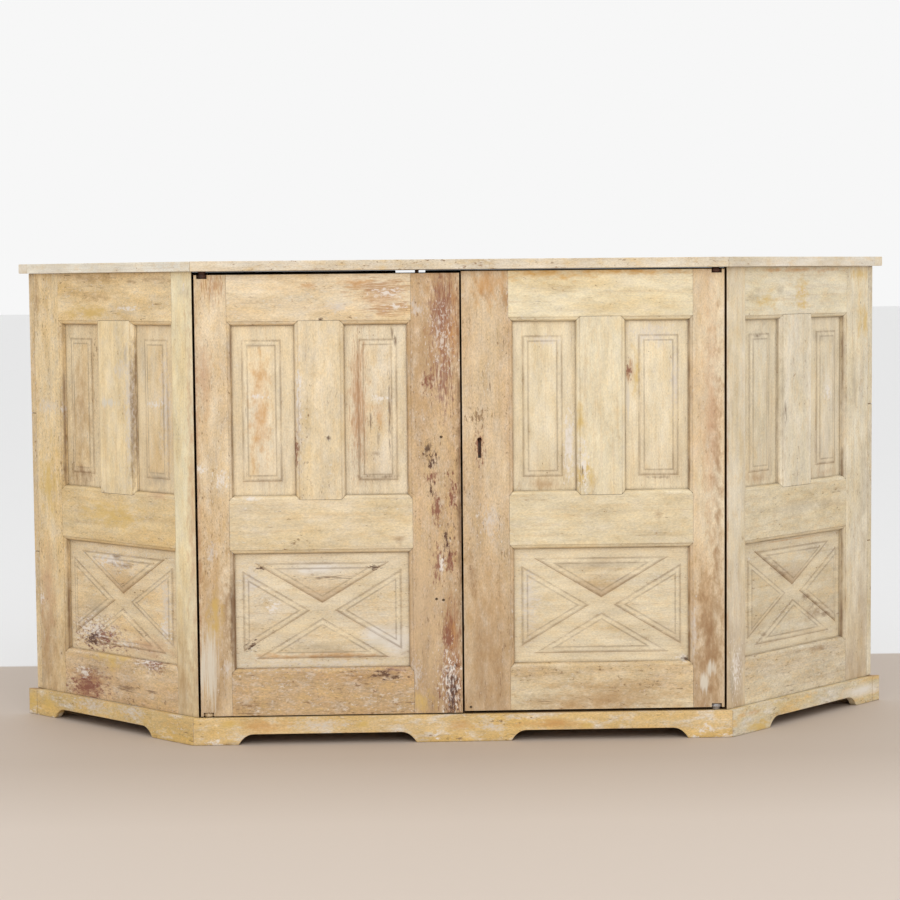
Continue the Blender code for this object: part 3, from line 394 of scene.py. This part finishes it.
# Bare pine: growth rings about 15 mm apart on the flat, pulled along the grain and bent by a slow noise
PINE_NOISES = {"bend": (0.08, 1.30, 1), "fibre": (0.003, 0.09, 3), "stain": (0.08, 0.30, 3)}
PINE_STRIDE = (6.1, 2.3, 4.9)
PINE_CRISPNESS = 0.50
RINGS = 9.0
RING_LINES = (0.30, 1.0, 0.42)
FIBRES = (0.45, 0.75, 0.50)
STAINS = (0.50, 0.75, 0.45)
DUST_AND_SHADE_CORNERS = (0.92, 0.30, 0.60)
STAIN = "#7A5C3C"
DUST_AND_SHADE_REACH = 0.02              # m
PLANED_ROUGHNESS = 0.62
FIBRE_ROUGHNESS = 0.85
PINE_BUMP = 0.35
PINE_BUMP_HEIGHT = 0.0006      # m


def bare_pine(name, face, grain, pale, dark, seed):
    """Pine that was never painted: planed, dull and brown with age, its rings drawn out along the
    board."""
    material, tree = blank(name)
    board = measured(tree, face)
    fields = grown(tree, board, grain, PINE_NOISES, seed, PINE_STRIDE, 0, PINE_CRISPNESS)
    rings = add(tree, "Math", {0: fields["bend"], 1: RINGS}, operation="MULTIPLY")
    rings = add(tree, "Math", {0: rings}, operation="FRACT")
    skin, line = lay(tree, linear(pale), rings, *RING_LINES, linear(dark))
    skin, _ = lay(tree, skin, fields["fibre"], *FIBRES, linear(dark))
    skin, _ = lay(tree, skin, fields["stain"], *STAINS, linear(STAIN))
    # Painted shade and dust in the inner corners
    open_air = add(tree, "AmbientOcclusion", {"Distance": DUST_AND_SHADE_REACH}, out="AO", samples=6)
    skin, _ = lay(tree, skin, open_air, *DUST_AND_SHADE_CORNERS, linear(GRIME_AND_SHADE))
    rough = add(tree, "MapRange", {"Value": fields["fibre"], "To Min": PLANED_ROUGHNESS,
                                   "To Max": FIBRE_ROUGHNESS})
    relief = add(tree, "Math", {0: fields["fibre"], 1: line}, operation="SUBTRACT")
    bump = add(tree, "Bump", {"Height": relief, "Strength": PINE_BUMP, "Distance": PINE_BUMP_HEIGHT})
    shader = add(tree, "BsdfPrincipled", {"Base Color": skin, "Roughness": rough, "Normal": bump})
    add(tree, "OutputMaterial", {"Surface": shader})
    return material


INSIDE_PALE = "#C3A071"
INSIDE_DARK = "#8F6A42"
ARRIS = 0.0011                 # m, how far the sharp edges are rubbed back
ARRIS_STEPS = 2
MERGE = 0.00001                # m
NAIL_HOLE = 0.0060             # m wide
NAIL_HOLE_DEPTH = 0.006        # m
NAIL_HOLE_SIDES = 10
FLAT = math.radians(0.5)
SHARP = math.radians(25)
CURVED = math.radians(18)
LOOKS_INWARD = 0.6             # how nearly a face has to look inward to take the inside finish
END_ON = 0.9                   # how nearly it has to look out of a cant to be an end


def rubbed(node, face, outside, inside=None, nail_holes=()):
    """A piece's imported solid, its triangles merged into flat faces and its sharp edges rubbed round.
    Faces that look into the cabinet take the inside finish. Old nail holes are drilled in the front."""
    solid = frame["nodes"][node]
    piece = bpy.data.objects.new("worn_" + node, solid.data.copy())
    bpy.context.scene.collection.objects.link(piece)
    bpy.ops.object.select_all(action="DESELECT")
    bpy.context.view_layer.objects.active = piece
    piece.select_set(True)
    bpy.ops.object.mode_set(mode="EDIT")
    bpy.ops.mesh.select_all(action="SELECT")
    bpy.ops.mesh.remove_doubles(threshold=MERGE)
    bpy.ops.mesh.dissolve_limited(angle_limit=FLAT)
    bpy.ops.object.mode_set(mode="OBJECT")
    worn = piece.modifiers.new("worn edges", "BEVEL")
    worn.width = ARRIS
    worn.segments = ARRIS_STEPS
    worn.limit_method = "ANGLE"
    worn.angle_limit = SHARP
    bpy.ops.object.modifier_apply(modifier=worn.name)
    for px, py in nail_holes:
        x, z = seen(face, px, py)
        bpy.ops.mesh.primitive_cylinder_add(vertices=NAIL_HOLE_SIDES, radius=NAIL_HOLE / 2,
                                            depth=2 * NAIL_HOLE_DEPTH, location=(x, face[1].y, z),
                                            rotation=(math.pi / 2, 0, 0))
        drill = bpy.context.object
        bpy.context.view_layer.objects.active = piece
        hole = piece.modifiers.new("nail hole", "BOOLEAN")
        hole.operation = "DIFFERENCE"
        hole.solver = "EXACT"
        hole.object = drill
        bpy.ops.object.modifier_apply(modifier=hole.name)
        bpy.data.objects.remove(drill)
    bpy.context.view_layer.objects.active = piece
    piece.select_set(True)
    bpy.ops.object.shade_smooth_by_angle(angle=CURVED)
    piece.data.materials.clear()
    piece.data.materials.append(outside)
    if inside:
        piece.data.materials.append(inside)
        turn = face[0]
        inward = Vector((-math.sin(turn), math.cos(turn), 0))
        for polygon in piece.data.polygons:
            polygon.material_index = 1 if polygon.normal.dot(inward) > LOOKS_INWARD else 0
    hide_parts(node)
    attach(piece, solid["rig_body"])
    return piece


def painted_ends(piece, left_paint, right_paint):
    """Paints the ends of a board of the back, which show as part of the canted sides."""
    for (turn, _), paint in ((LEFT_CANT, left_paint), (RIGHT_CANT, right_paint)):
        piece.data.materials.append(paint)
        outward = Vector((math.sin(turn), -math.cos(turn), 0))
        for polygon in piece.data.polygons:
            if polygon.normal.dot(outward) > END_ON:
                polygon.material_index = len(piece.data.materials) - 1


PLINTH_WEAR = 0.24
PLINTH_PITS = 0.36
PLINTH_MOTTLE = 0.80
PLINTH_MOTTLE_SIZE = (0.022, 0.050)   # m across and along the grain
PLINTH_EDGES = 0.30
# Each painted board: its face, its colour and the colour it drifts to, and its marks, whose places are
# pixels of the photograph
PLINTH_BOARDS = {
    "plinth_front": (FRONT, "#D5B582", "#D2A95E", [
        ("orange", 235, 718, 290, 733), ("lilac", 290, 717, 350, 731), ("yellow", 355, 718, 372, 728),
        ("white", 432, 730, 441, 739), ("white", 460, 731, 471, 738), ("orange", 443, 720, 476, 731),
        ("lilac", 476, 721, 506, 730), ("orange", 520, 717, 585, 728), ("yellow", 580, 720, 598, 728),
        ("white", 697, 722, 714, 735), ("white", 688, 733, 701, 740), ("white", 716, 731, 733, 739),
        ("yellow", 216, 720, 246, 729), ("white", 208, 737, 224, 746)]),
    "plinth_left": (LEFT_CANT, "#C8AA76", "#CCA457", [
        ("yellow", 46, 695, 60, 706), ("lilac", 76, 700, 120, 709), ("lilac", 122, 706, 150, 717),
        ("yellow", 32, 690, 44, 712), ("white", 26, 708, 44, 716)]),
    "plinth_right": (RIGHT_CANT, "#D0BFA1", "#D0B580", [
        ("bleached", 836, 677, 879, 701), ("yellow", 735, 712, 768, 737),
        ("orange", 735, 705, 760, 718), ("lilac", 768, 705, 842, 716)]),
}
inside_front = bare_pine("bare_pine_inside_front", FRONT, "across", INSIDE_PALE, INSIDE_DARK, 1)
plinth_paints = {}
for seed, (node, (face, paint, drift, marks)) in enumerate(PLINTH_BOARDS.items()):
    finish = old_paint("ochre_paint_" + node, face, "across", paint, drift, PLINTH_WEAR, PLINTH_PITS,
                       marks, seed + 1, mottle=PLINTH_MOTTLE, mottle_size=PLINTH_MOTTLE_SIZE,
                       edges=PLINTH_EDGES)
    plinth_paints[node] = finish
    rubbed(node, face, finish, inside_front)
painted_ends(rubbed("plinth_back", FRONT, inside_front), plinth_paints["plinth_left"],
             plinth_paints["plinth_right"])

# Bottom, shelf and bearers: pine boards that were never painted. The bottom lies on the plinth, and
# the shelf lies loose on two bearers that are nailed to the sides.
for seed, node in enumerate(("bottom_board", "shelf", "shelf_bearer_left", "shelf_bearer_right")):
    finish = bare_pine("bare_pine_" + node, FRONT, "across", INSIDE_PALE, INSIDE_DARK, seed + 3)
    rubbed(node, FRONT, finish)

# Back: three wide pine boards, rough from the saw and grey with dust, nailed across the back. A piece
# is broken out of the top edge of the upper one.
SAWN_PALE = "#B39A75"
SAWN_DARK = "#866848"
left_end = old_paint("cream_paint_back_left_end", LEFT_CANT, "up", "#D5BA90", "#C8A678",
                     0.30, 0.40, [], 15)
right_end = old_paint("cream_paint_back_right_end", RIGHT_CANT, "up", "#D2C2A6", "#C8B48F",
                      0.20, 0.30, [], 16)
for seed, part in enumerate(("lower", "middle", "upper")):
    node = "back_board_" + part
    finish = bare_pine("sawn_pine_" + part, FRONT, "across", SAWN_PALE, SAWN_DARK, seed + 11)
    painted_ends(rubbed(node, FRONT, finish), left_end, right_end)

# Left canted side: a panelled frame of pine stiles, rails and a muntin, with two raised panels above
# and a panel with a cross below. Yellowed cream paint, browner and flaking near the floor.
STILE_SOIL = 0.55
# Lines of painted shade and grime on a moulded board: how deep below the face, how far each way, how
# strong
STILE_LINES = ((0.0014, 0.0005, 0.12), (0.0092, 0.0030, 0.45))
SHADED_GRIMY_STILE_LINES = ((0.0014, 0.0005, 0.15), (0.0062, 0.0054, 0.95))
RAIL_LINES = ((0.0014, 0.0005, 0.14), (0.0084, 0.0017, 0.65))


def lines_of(board):
    """The lines of painted shade and grime of a board of a frame: broadest on the stiles that lie
    farthest to the sides.
    """
    if board.endswith("panel"):
        return PANEL_LINES
    if board in ("rear_stile", "hinge_stile"):
        return SHADED_GRIMY_STILE_LINES
    return STILE_LINES if board.endswith("stile") else RAIL_LINES


def soil_of(board):
    """How much dirt of the floor shows on a board: the stiles reach down to it."""
    return STILE_SOIL if board.endswith("stile") else 0.0


def inner_faces(place, face, seed):
    """Bare pine for the inner faces of a frame, with the grain upright and across."""
    return {grain: bare_pine("bare_pine_inside_%s_%s" % (place, grain), face, grain, INSIDE_PALE,
                             INSIDE_DARK, seed)
            for grain in ("up", "across")}


def panelled(name, face, boards, inside, first_seed, nail_holes=None):
    """Dresses the boards of a panelled frame, a side or a door, each in a cream paint of its own."""
    for seed, (board, (grain, paint, drift, wear, pits, marks)) in enumerate(boards.items()):
        node = name + "_" + board
        finish = old_paint("cream_paint_" + node, face, grain, paint, drift, wear, pits, marks,
                           seed + first_seed, lines_of(board), soil=soil_of(board))
        holes = nail_holes.get(board, ()) if nail_holes else ()
        rubbed(node, face, finish, inside[grain], holes)


# Each board of a frame: its grain, its colour and the colour it drifts to, how worn and how pitted it
# is, and its marks
LEFT_SIDE = {
    "front_stile": ("up", "#EDD8B1", "#E4C791", 0.15, 0.15, [
        ("white", 180, 281, 186, 292), ("grey", 178, 284, 190, 300), ("tan", 172, 640, 192, 716),
        ("pink", 190, 276, 195, 712)]),
    "rear_stile": ("up", "#E2C79B", "#D7B37A", 0.20, 0.45, [
        ("lilac", 35, 398, 62, 414), ("brown", 31, 380, 40, 410), ("grey", 36, 660, 47, 692),
        ("white", 59, 402, 66, 416), ("tan", 33, 600, 60, 690), ("brown", 32, 270, 40, 330),
        ("yellow", 40, 440, 58, 520), ("pink", 40, 540, 56, 640), ("white", 36, 590, 46, 606)]),
    "top_rail": ("across", "#E1C598", "#D5B074", 0.15, 0.35, [
        ("brown", 80, 290, 112, 303), ("white", 118, 305, 139, 311), ("brown", 126, 278, 136, 285),
        ("brown", 60, 272, 115, 286), ("brown", 136, 276, 172, 283), ("yellow", 64, 304, 120, 320)]),
    "mid_rail": ("across", "#DABE8F", "#D1AE75", 0.12, 0.30, [
        ("yellow", 80, 505, 150, 525), ("pink", 140, 488, 172, 500)]),
    "bottom_rail": ("across", "#D2B48C", "#BE9A70", 0.30, 0.45, [
        ("blush", 68, 669, 107, 702), ("mauve", 66, 666, 110, 704), ("red", 70, 674, 104, 698),
        ("white", 132, 650, 168, 668), ("red", 140, 658, 166, 671), ("crack", 114, 687, 142, 691),
        ("crack", 145, 690, 158, 693), ("crack", 84, 666, 102, 669), ("yellow", 90, 650, 130, 664),
        ("white", 76, 668, 92, 676)]),
    "muntin": ("up", "#E6CEA5", "#DDC08C", 0.12, 0.15, [
        ("lilac", 114, 360, 126, 380), ("scuff", 101, 398, 119, 407), ("grey", 123, 345, 128, 372),
        ("lilac", 125, 330, 132, 485), ("shadow", 130, 324, 134, 488)]),
    "upper_left_panel": ("up", "#DCC196", "#CFAC78", 0.15, 0.40, [
        ("brown", 66, 470, 98, 488), ("tan", 68, 342, 88, 470), ("brown", 66, 462, 92, 486)]),
    "upper_right_panel": ("up", "#DFC59C", "#D3B17F", 0.15, 0.25, [
        ("white", 143, 401, 160, 409), ("grey", 141, 472, 168, 486), ("lilac", 158, 345, 166, 465)]),
    "lower_panel": ("across", "#E0C59B", "#D1AD7A", 0.30, 0.35, [
        ("lilac", 84, 550, 140, 571), ("seam", 104, 555, 118, 559), ("seam", 106, 563, 134, 568),
        ("white", 92, 556, 124, 566), ("lilac", 158, 573, 169, 642), ("white", 68, 616, 112, 642),
        ("mauve", 70, 622, 128, 652), ("red", 76, 628, 112, 649), ("white", 112, 638, 134, 650),
        ("dark", 80, 632, 98, 646), ("grey", 76, 598, 108, 622), ("pink", 118, 640, 170, 656),
        ("white", 156, 620, 168, 642)]),
}
panelled("left_side", LEFT_CANT, LEFT_SIDE, inner_faces("left", LEFT_CANT, 21), 11)

# Right canted side: the same panelled frame of pine on the other end. Its cream paint is paler and
# greyer, with yellow stains near the top.
RIGHT_SIDE = {
    "front_stile": ("up", "#DCCBAF", "#D5BE96", 0.15, 0.15, [
        ("white", 730, 640, 742, 700), ("grey", 728, 660, 736, 706), ("pink", 725, 280, 729, 700)]),
    "rear_stile": ("up", "#DFD0B5", "#D8C39C", 0.12, 0.25, [
        ("yellow", 848, 266, 872, 283), ("yellow", 858, 298, 870, 345), ("grey", 850, 340, 858, 420),
        ("grey", 858, 420, 870, 560)]),
    "top_rail": ("across", "#DFD0B3", "#D6C39D", 0.12, 0.20, [
        ("yellow", 793, 276, 810, 314), ("specks", 792, 276, 812, 314), ("yellow", 757, 290, 778, 308),
        ("orange", 748, 267, 848, 273), ("grey", 776, 283, 786, 297), ("grey", 750, 286, 768, 302)]),
    "mid_rail": ("across", "#D6C4A4", "#CDB78F", 0.15, 0.30, [("grey", 760, 495, 840, 520)]),
    "bottom_rail": ("across", "#D2BFA0", "#C3AA86", 0.25, 0.42, [
        ("grey", 760, 655, 842, 672), ("tan", 750, 690, 850, 706), ("brown", 800, 640, 842, 655)]),
    "muntin": ("up", "#DFD0B8", "#D8C6A4", 0.10, 0.22, [
        ("crack", 783, 395, 788, 426), ("grey", 779, 325, 786, 480)]),
    "upper_left_panel": ("up", "#D8C8AC", "#CDB892", 0.15, 0.25, [
        ("grey", 748, 328, 774, 345), ("tan", 748, 470, 778, 487), ("crack", 757, 334, 766, 338)]),
    "upper_right_panel": ("up", "#DBCBB0", "#D2BD98", 0.12, 0.18, [
        ("tan", 815, 465, 842, 480), ("white", 826, 382, 834, 402), ("grey", 812, 328, 836, 345)]),
    "lower_panel": ("across", "#D2C0A2", "#C5AE88", 0.20, 0.28, [
        # the seams along the bevels of the cross are painted shadow
        ("seam", 764, 553, 776, 566), ("seam", 772, 560, 784, 573), ("seam", 780, 567, 793, 580),
        ("seam", 803, 591, 814, 603), ("seam", 812, 599, 823, 611), ("seam", 821, 606, 836, 622),
        ("brown", 806, 600, 835, 627), ("orange", 750, 533, 842, 546), ("seam", 762, 630, 774, 641)]),
}
panelled("right_side", RIGHT_CANT, RIGHT_SIDE, inner_faces("right", RIGHT_CANT, 22), 31)

# Top: one wide board with a narrow lipping, mitred at the front corners, and a strip along the back.
# Pale grey cream paint, thinner than on the doors.
TOP_BOARDS = {
    "top_board": (FRONT, "#DDCFBA", "#D4C2A5", 0.12),
    "top_rear_strip": (FRONT, "#DDCFBA", "#D4C2A5", 0.12),
    "top_lipping_front": (FRONT, "#DBCBB3", "#CFB793", 0.38),
    "top_lipping_left": (LEFT_CANT, "#E3D9C7", "#D9C9AE", 0.20),
    "top_lipping_right": (RIGHT_CANT, "#DDD0BD", "#D2BF9F", 0.20),
}
for seed, (node, (face, paint, drift, wear)) in enumerate(TOP_BOARDS.items()):
    finish = old_paint("pale_paint_" + node, face, "across", paint, drift, wear, wear, [], seed + 51)
    rubbed(node, face, finish)

# Left door: a panelled frame like the sides', tenoned and pegged. Its meeting stile is the most worn
# board of all, where hands reached for it: red-brown wood, flakes and knots.
LEFT_DOOR = {
    "hinge_stile": ("up", "#DBC29E", "#CDAB7F", 0.22, 0.40, [
        ("streaked", 198, 272, 230, 302), ("pink", 195, 330, 212, 420), ("white", 195, 464, 208, 475),
        ("white", 214, 470, 230, 490), ("lilac", 206, 540, 217, 566), ("tan", 196, 530, 232, 704),
        ("scuff", 196, 626, 221, 710), ("yellow", 206, 585, 224, 650), ("lilac", 222, 656, 233, 680),
        # the brown and shadow marks along the lower panel's moulding are painted shade and grime
        ("blush", 193, 276, 197, 712), ("brown", 222, 552, 232, 668), ("shadow", 230, 548, 236, 672)]),
    "meeting_stile": ("up", "#CDAE88", "#BD986E", 0.20, 0.45, [
        ("specks", 426, 288, 458, 378), ("specks", 436, 640, 461, 720), ("blush", 428, 262, 462, 380),
        ("blush", 446, 590, 462, 722), ("mauve", 428, 274, 452, 348), ("reddish", 430, 272, 456, 340),
        ("tan", 402, 256, 444, 430), ("shadow", 458, 262, 463, 722), ("orange", 446, 296, 457, 362),
        ("reddish", 432, 330, 456, 402), ("mauve", 434, 354, 452, 418), ("red", 422, 370, 436, 392),
        ("lilac", 406, 300, 426, 316), ("knot", 423, 438, 432, 458), ("dark", 425, 450, 438, 470),
        ("red", 425, 471, 439, 484), ("dark", 428, 478, 435, 502), ("red", 431, 492, 442, 524),
        ("red", 447, 478, 457, 510), ("dark", 443, 526, 451, 556), ("red", 433, 546, 442, 584),
        ("red", 444, 543, 456, 574), ("white", 438, 550, 446, 576), ("reddish", 440, 606, 458, 652),
        ("pale", 398, 535, 442, 675), ("red", 442, 623, 453, 652), ("orange", 449, 622, 457, 654),
        ("mauve", 437, 652, 451, 698), ("reddish", 442, 650, 461, 722), ("dark", 445, 668, 460, 724),
        ("white", 440, 650, 461, 718), ("lilac", 406, 658, 424, 692), ("yellow", 410, 688, 434, 716)]),
    "top_rail": ("across", "#E2CBA8", "#D8B684", 0.20, 0.30, [
        ("streaked", 350, 275, 412, 299), ("white", 370, 287, 410, 298),
        ("streaked", 364, 299, 411, 317), ("white", 378, 303, 413, 310), ("orange", 338, 276, 374, 291),
        ("knot", 317, 317, 323, 323), ("lilac", 325, 300, 352, 313), ("orange", 298, 282, 322, 290),
        ("pink", 355, 278, 412, 316)]),
    "mid_rail": ("across", "#DDC7A4", "#D4BA8E", 0.15, 0.25, [
        ("brown", 392, 534, 406, 546), ("white", 240, 496, 262, 502)]),
    "bottom_rail": ("across", "#C3A177", "#AF8558", 0.38, 0.55, [
        ("seam", 366, 670, 408, 681), ("dark", 368, 670, 408, 680), ("lilac", 230, 660, 412, 672),
        ("mauve", 380, 664, 410, 676)]),
    "muntin": ("up", "#DDC6A2", "#D4BA90", 0.15, 0.25, [
        ("lilac", 294, 350, 302, 492), ("knot", 326, 435, 331, 442), ("red", 294, 432, 299, 470),
        ("white", 296, 355, 302, 420)]),
    "upper_left_panel": ("up", "#E6D1B0", "#DFC08F", 0.15, 0.20, [
        ("orange", 249, 350, 271, 474), ("white", 248, 394, 272, 400), ("grey", 240, 342, 280, 349)]),
    "upper_right_panel": ("up", "#E0CCAE", "#D4B88E", 0.20, 0.30, [
        ("pink", 350, 336, 368, 478), ("streaked", 350, 340, 366, 470), ("crack", 390, 325, 394, 340),
        ("crack", 393, 334, 397, 350), ("crack", 388, 348, 391, 470), ("white", 370, 395, 392, 403),
        ("orange", 373, 404, 385, 426), ("crack", 369, 398, 372, 442), ("crack", 377, 428, 380, 450),
        ("seam", 366, 450, 386, 458), ("seam", 353, 474, 381, 480), ("seam", 375, 474, 403, 480),
        ("grey", 357, 468, 400, 485)]),
    "lower_panel": ("across", "#DCC8AA", "#CFB58C", 0.25, 0.28, [
        ("dark", 254, 567, 268, 573), ("dark", 369, 565, 384, 571), ("dark", 246, 640, 258, 652),
        ("scuff", 364, 630, 409, 652), ("bleached", 378, 622, 420, 662),
        ("bleached", 360, 624, 392, 644), ("orange", 236, 652, 410, 662),
        # the lilac strip along the bottom moulding is a painted highlight
        ("lilac", 236, 659, 410, 669), ("bleached", 278, 561, 362, 577),
        ("crack", 300, 575, 358, 581), ("lilac", 238, 562, 262, 600), ("white", 262, 600, 284, 616),
        ("grey", 286, 642, 350, 653)]),
}
# Old nail holes, by pixels of the photograph
LEFT_DOOR_HOLES = {"meeting_stile": [(441, 437), (436.5, 599), (443.5, 600)]}
inside_doors = inner_faces("doors", FRONT, 23)
panelled("left_door", FRONT, LEFT_DOOR, inside_doors, 61, LEFT_DOOR_HOLES)

# Right door: the same panelled frame of pine, hung on the right. It carries the lock, and the keyhole
# is cut through its tan meeting stile.
RIGHT_DOOR = {
    "hinge_stile": ("up", "#DCC5A2", "#CEAA80", 0.15, 0.30, [
        ("pink", 702, 280, 722, 560), ("brown", 712, 300, 724, 710), ("tan", 690, 540, 728, 726),
        ("scuff", 706, 659, 716, 677), ("scuff", 699, 671, 709, 693), ("brown", 688, 556, 728, 732),
        ("lilac", 690, 600, 698, 660)]),
    "meeting_stile": ("up", "#D1B590", "#C29F76", 0.12, 0.42, [
        ("white", 507, 268, 511, 322), ("brown", 478, 287, 491, 304), ("orange", 466, 262, 512, 308),
        ("brown", 464, 545, 478, 605), ("red", 474, 432, 485, 463), ("peck", 464, 405, 490, 429),
        ("tan", 464, 560, 512, 730), ("lilac", 480, 500, 500, 540), ("brown", 498, 280, 511, 320),
        ("crack", 488, 380, 492, 392)]),
    "top_rail": ("across", "#E5D3AF", "#DEC493", 0.10, 0.20, [
        ("amber", 490, 266, 590, 281), ("amber", 560, 266, 706, 277)]),
    "mid_rail": ("across", "#D9C5A1", "#CFB68B", 0.12, 0.25, [("brown", 652, 510, 664, 521)]),
    "bottom_rail": ("across", "#D6BF99", "#C2A175", 0.20, 0.40, [
        ("white", 678, 656, 690, 664), ("tan", 506, 678, 696, 722)]),
    "muntin": ("up", "#DECCAA", "#D7BF95", 0.10, 0.15, [
        ("crack", 580, 461, 585, 481), ("yellow", 574, 455, 594, 493), ("white", 576, 440, 590, 490),
        ("yellow", 576, 400, 584, 440)]),
    "upper_left_panel": ("up", "#E2CFAE", "#D9C094", 0.12, 0.18, [
        ("scuff", 565, 420, 575, 474), ("white", 563, 405, 576, 486), ("lilac", 530, 334, 564, 347),
        ("tan", 516, 478, 576, 492)]),
    "upper_right_panel": ("up", "#E4D1B0", "#DBC297", 0.12, 0.22, [
        ("streaked", 625, 358, 635, 384), ("red", 626, 362, 632, 380), ("scuff", 624, 378, 632, 422),
        ("lilac", 630, 322, 676, 348), ("lilac", 670, 345, 680, 420), ("seam", 638, 475, 680, 480),
        ("yellow", 632, 340, 642, 400)]),
    "lower_panel": ("across", "#DBC7A5", "#CEB389", 0.18, 0.25, [
        ("lilac", 518, 560, 540, 640), ("scuff", 680, 656, 688, 664), ("white", 675, 654, 686, 662),
        # the dark mark at the lower right corner is a painted shadow beside the white one
        ("dark", 681, 655, 691, 665), ("grey", 540, 560, 660, 570)]),
}
RIGHT_DOOR_HOLES = {"meeting_stile": [(471, 707)]}
panelled("right_door", FRONT, RIGHT_DOOR, inside_doors, 81, RIGHT_DOOR_HOLES)

# Ironwork: forged pivots let into the ends of the doors, a lock in the right door and a slide bolt on
# the left one. Plain iron under brown rust, with some bare metal between. One lower pivot was painted
# over with the door, and the other is rubbed bright.
IRON = "#6B6058"
RUST = "#7A5340"
DARK_IRON = "#4C3E39"
DARK_RUST = "#5A3C30"
BRIGHT_IRON = "#B9BCC0"
PALE_RUST = "#9A8E84"
PAINTED_IRON = "#D3BC98"
DIRTY_IRON = "#B2946B"
RUST_GRAIN = 0.003             # m
RUST_BLOTCH = 0.012            # m
RUSTED = (0.80, 1.10, 1.0)
BARE_METAL = 0.90
ROUGH_IRON = 0.45
ROUGH_RUST = 0.85
RUST_BUMP = 0.50
RUST_BUMP_HEIGHT = 0.0004      # m


def rusty_iron(name, iron, rust, seed, shine=BARE_METAL):
    """Forged iron under brown rust: dull grains of rust about 3 mm wide over dark metal."""
    material, tree = blank(name)
    place = add(tree, "TexCoord", {}, out="Object")
    spread = add(tree, "Mapping", {"Vector": place, "Location": (seed, seed * 2, seed * 3)})
    grains = add(tree, "TexNoise", {"Vector": spread, "Scale": 1 / RUST_GRAIN, "Detail": 4})
    blotch = add(tree, "TexNoise", {"Vector": spread, "Scale": 1 / RUST_BLOTCH, "Detail": 3})
    both = add(tree, "Math", {0: grains, 1: blotch}, operation="ADD")
    skin, rusted = lay(tree, linear(iron), both, *RUSTED, linear(rust))
    metal = add(tree, "MapRange", {"Value": rusted, "To Min": shine, "To Max": 0.0})
    rough = add(tree, "MapRange", {"Value": rusted, "To Min": ROUGH_IRON, "To Max": ROUGH_RUST})
    bump = add(tree, "Bump", {"Height": both, "Strength": RUST_BUMP, "Distance": RUST_BUMP_HEIGHT})
    shader = add(tree, "BsdfPrincipled", {"Base Color": skin, "Metallic": metal, "Roughness": rough,
                                          "Normal": bump})
    add(tree, "OutputMaterial", {"Surface": shader})
    return material


for seed, node in enumerate(("left_door_upper_pivot", "right_door_upper_pivot")):
    rubbed(node, FRONT, rusty_iron("dark_iron_" + node, DARK_IRON, DARK_RUST, seed + 10))
for seed, node in enumerate(("left_door_bolt_plate", "left_door_bolt", "lock_case", "lock_bolt")):
    rubbed(node, FRONT, rusty_iron("rusty_iron_" + node, IRON, RUST, seed))
rubbed("left_door_lower_pivot", FRONT,
       rusty_iron("painted_iron_left_door_lower_pivot", PAINTED_IRON, DIRTY_IRON, 8, shine=0.0))
rubbed("right_door_lower_pivot", FRONT,
       rusty_iron("bright_iron_right_door_lower_pivot", BRIGHT_IRON, PALE_RUST, 9))

# Studio: a plain pale floor with painted shade near the cabinet and white some way behind it, with soft
# white light from all round and a large lamp in front.
FLOOR = "#D6C9BD"
SHADED_FLOOR = "#C5B7AA"
FAR_FLOOR = "#F2F2F2"
FLOOR_HALF = 60.0              # m
FLOOR_ROUGHNESS = 0.7
SHADED_FROM = -0.90            # m, in front of the middle
SHADED_TO = -0.35              # m
FAR_Y = 0.83                   # m, behind the middle
FAR_SEAM = 0.01                # m each way
bpy.ops.object.select_all(action="DESELECT")
bpy.ops.mesh.primitive_plane_add(size=2 * FLOOR_HALF, location=(0, 0, 0))
floor = bpy.context.object
floor.name = "floor"
floor_paint, tree = blank("pale_floor")
place = add(tree, "TexCoord", {}, out="Object")
depth = add(tree, "SeparateXYZ", {"Vector": place}, out="Y")
# painted shade on the floor near the cabinet
skin, _ = lay(tree, linear(FLOOR), depth, SHADED_FROM, SHADED_TO, 1.0, linear(SHADED_FLOOR))
skin, _ = lay(tree, skin, depth, FAR_Y - FAR_SEAM, FAR_Y + FAR_SEAM, 1.0, linear(FAR_FLOOR))
shader = add(tree, "BsdfPrincipled", {"Base Color": skin, "Roughness": FLOOR_ROUGHNESS})
add(tree, "OutputMaterial", {"Surface": shader})
floor.data.materials.append(floor_paint)

SKY_LIGHT = 0.88
BACKDROP = "#F7F7F7"
world = bpy.data.worlds.new("soft light")
world.use_nodes = True
bpy.context.scene.world = world
tree = world.node_tree
tree.nodes.clear()
straight = 0.0
for ray in ("Is Camera Ray", "Is Glossy Ray", "Is Transmission Ray"):
    seen_by = add(tree, "LightPath", {}, out=ray)
    straight = add(tree, "Math", {0: straight, 1: seen_by}, operation="MAXIMUM")
lit = add(tree, "Background", {"Color": (1, 1, 1, 1), "Strength": SKY_LIGHT})
shown = add(tree, "Background", {"Color": linear(BACKDROP), "Strength": 1.0})
sky = add(tree, "MixShader", {0: straight, 1: lit, 2: shown})
add(tree, "OutputWorld", {"Surface": sky})

KEY_POWER = 100.0              # W
KEY_SIZE = 4.0                 # m
KEY_PLACE = (0.4, -5.5, 4.0)   # m
KEY_AIM = Vector((0, 0, 0.5))  # m, the middle of the cabinet
key = bpy.data.lights.new("key", "AREA")
key.energy = KEY_POWER
key.size = KEY_SIZE
key_lamp = bpy.data.objects.new("key", key)
bpy.context.scene.collection.objects.link(key_lamp)
key_lamp.location = KEY_PLACE
key_lamp.rotation_euler = (KEY_AIM - key_lamp.location).to_track_quat("-Z", "Y").to_euler()
bpy.context.scene.view_settings.view_transform = "Standard"
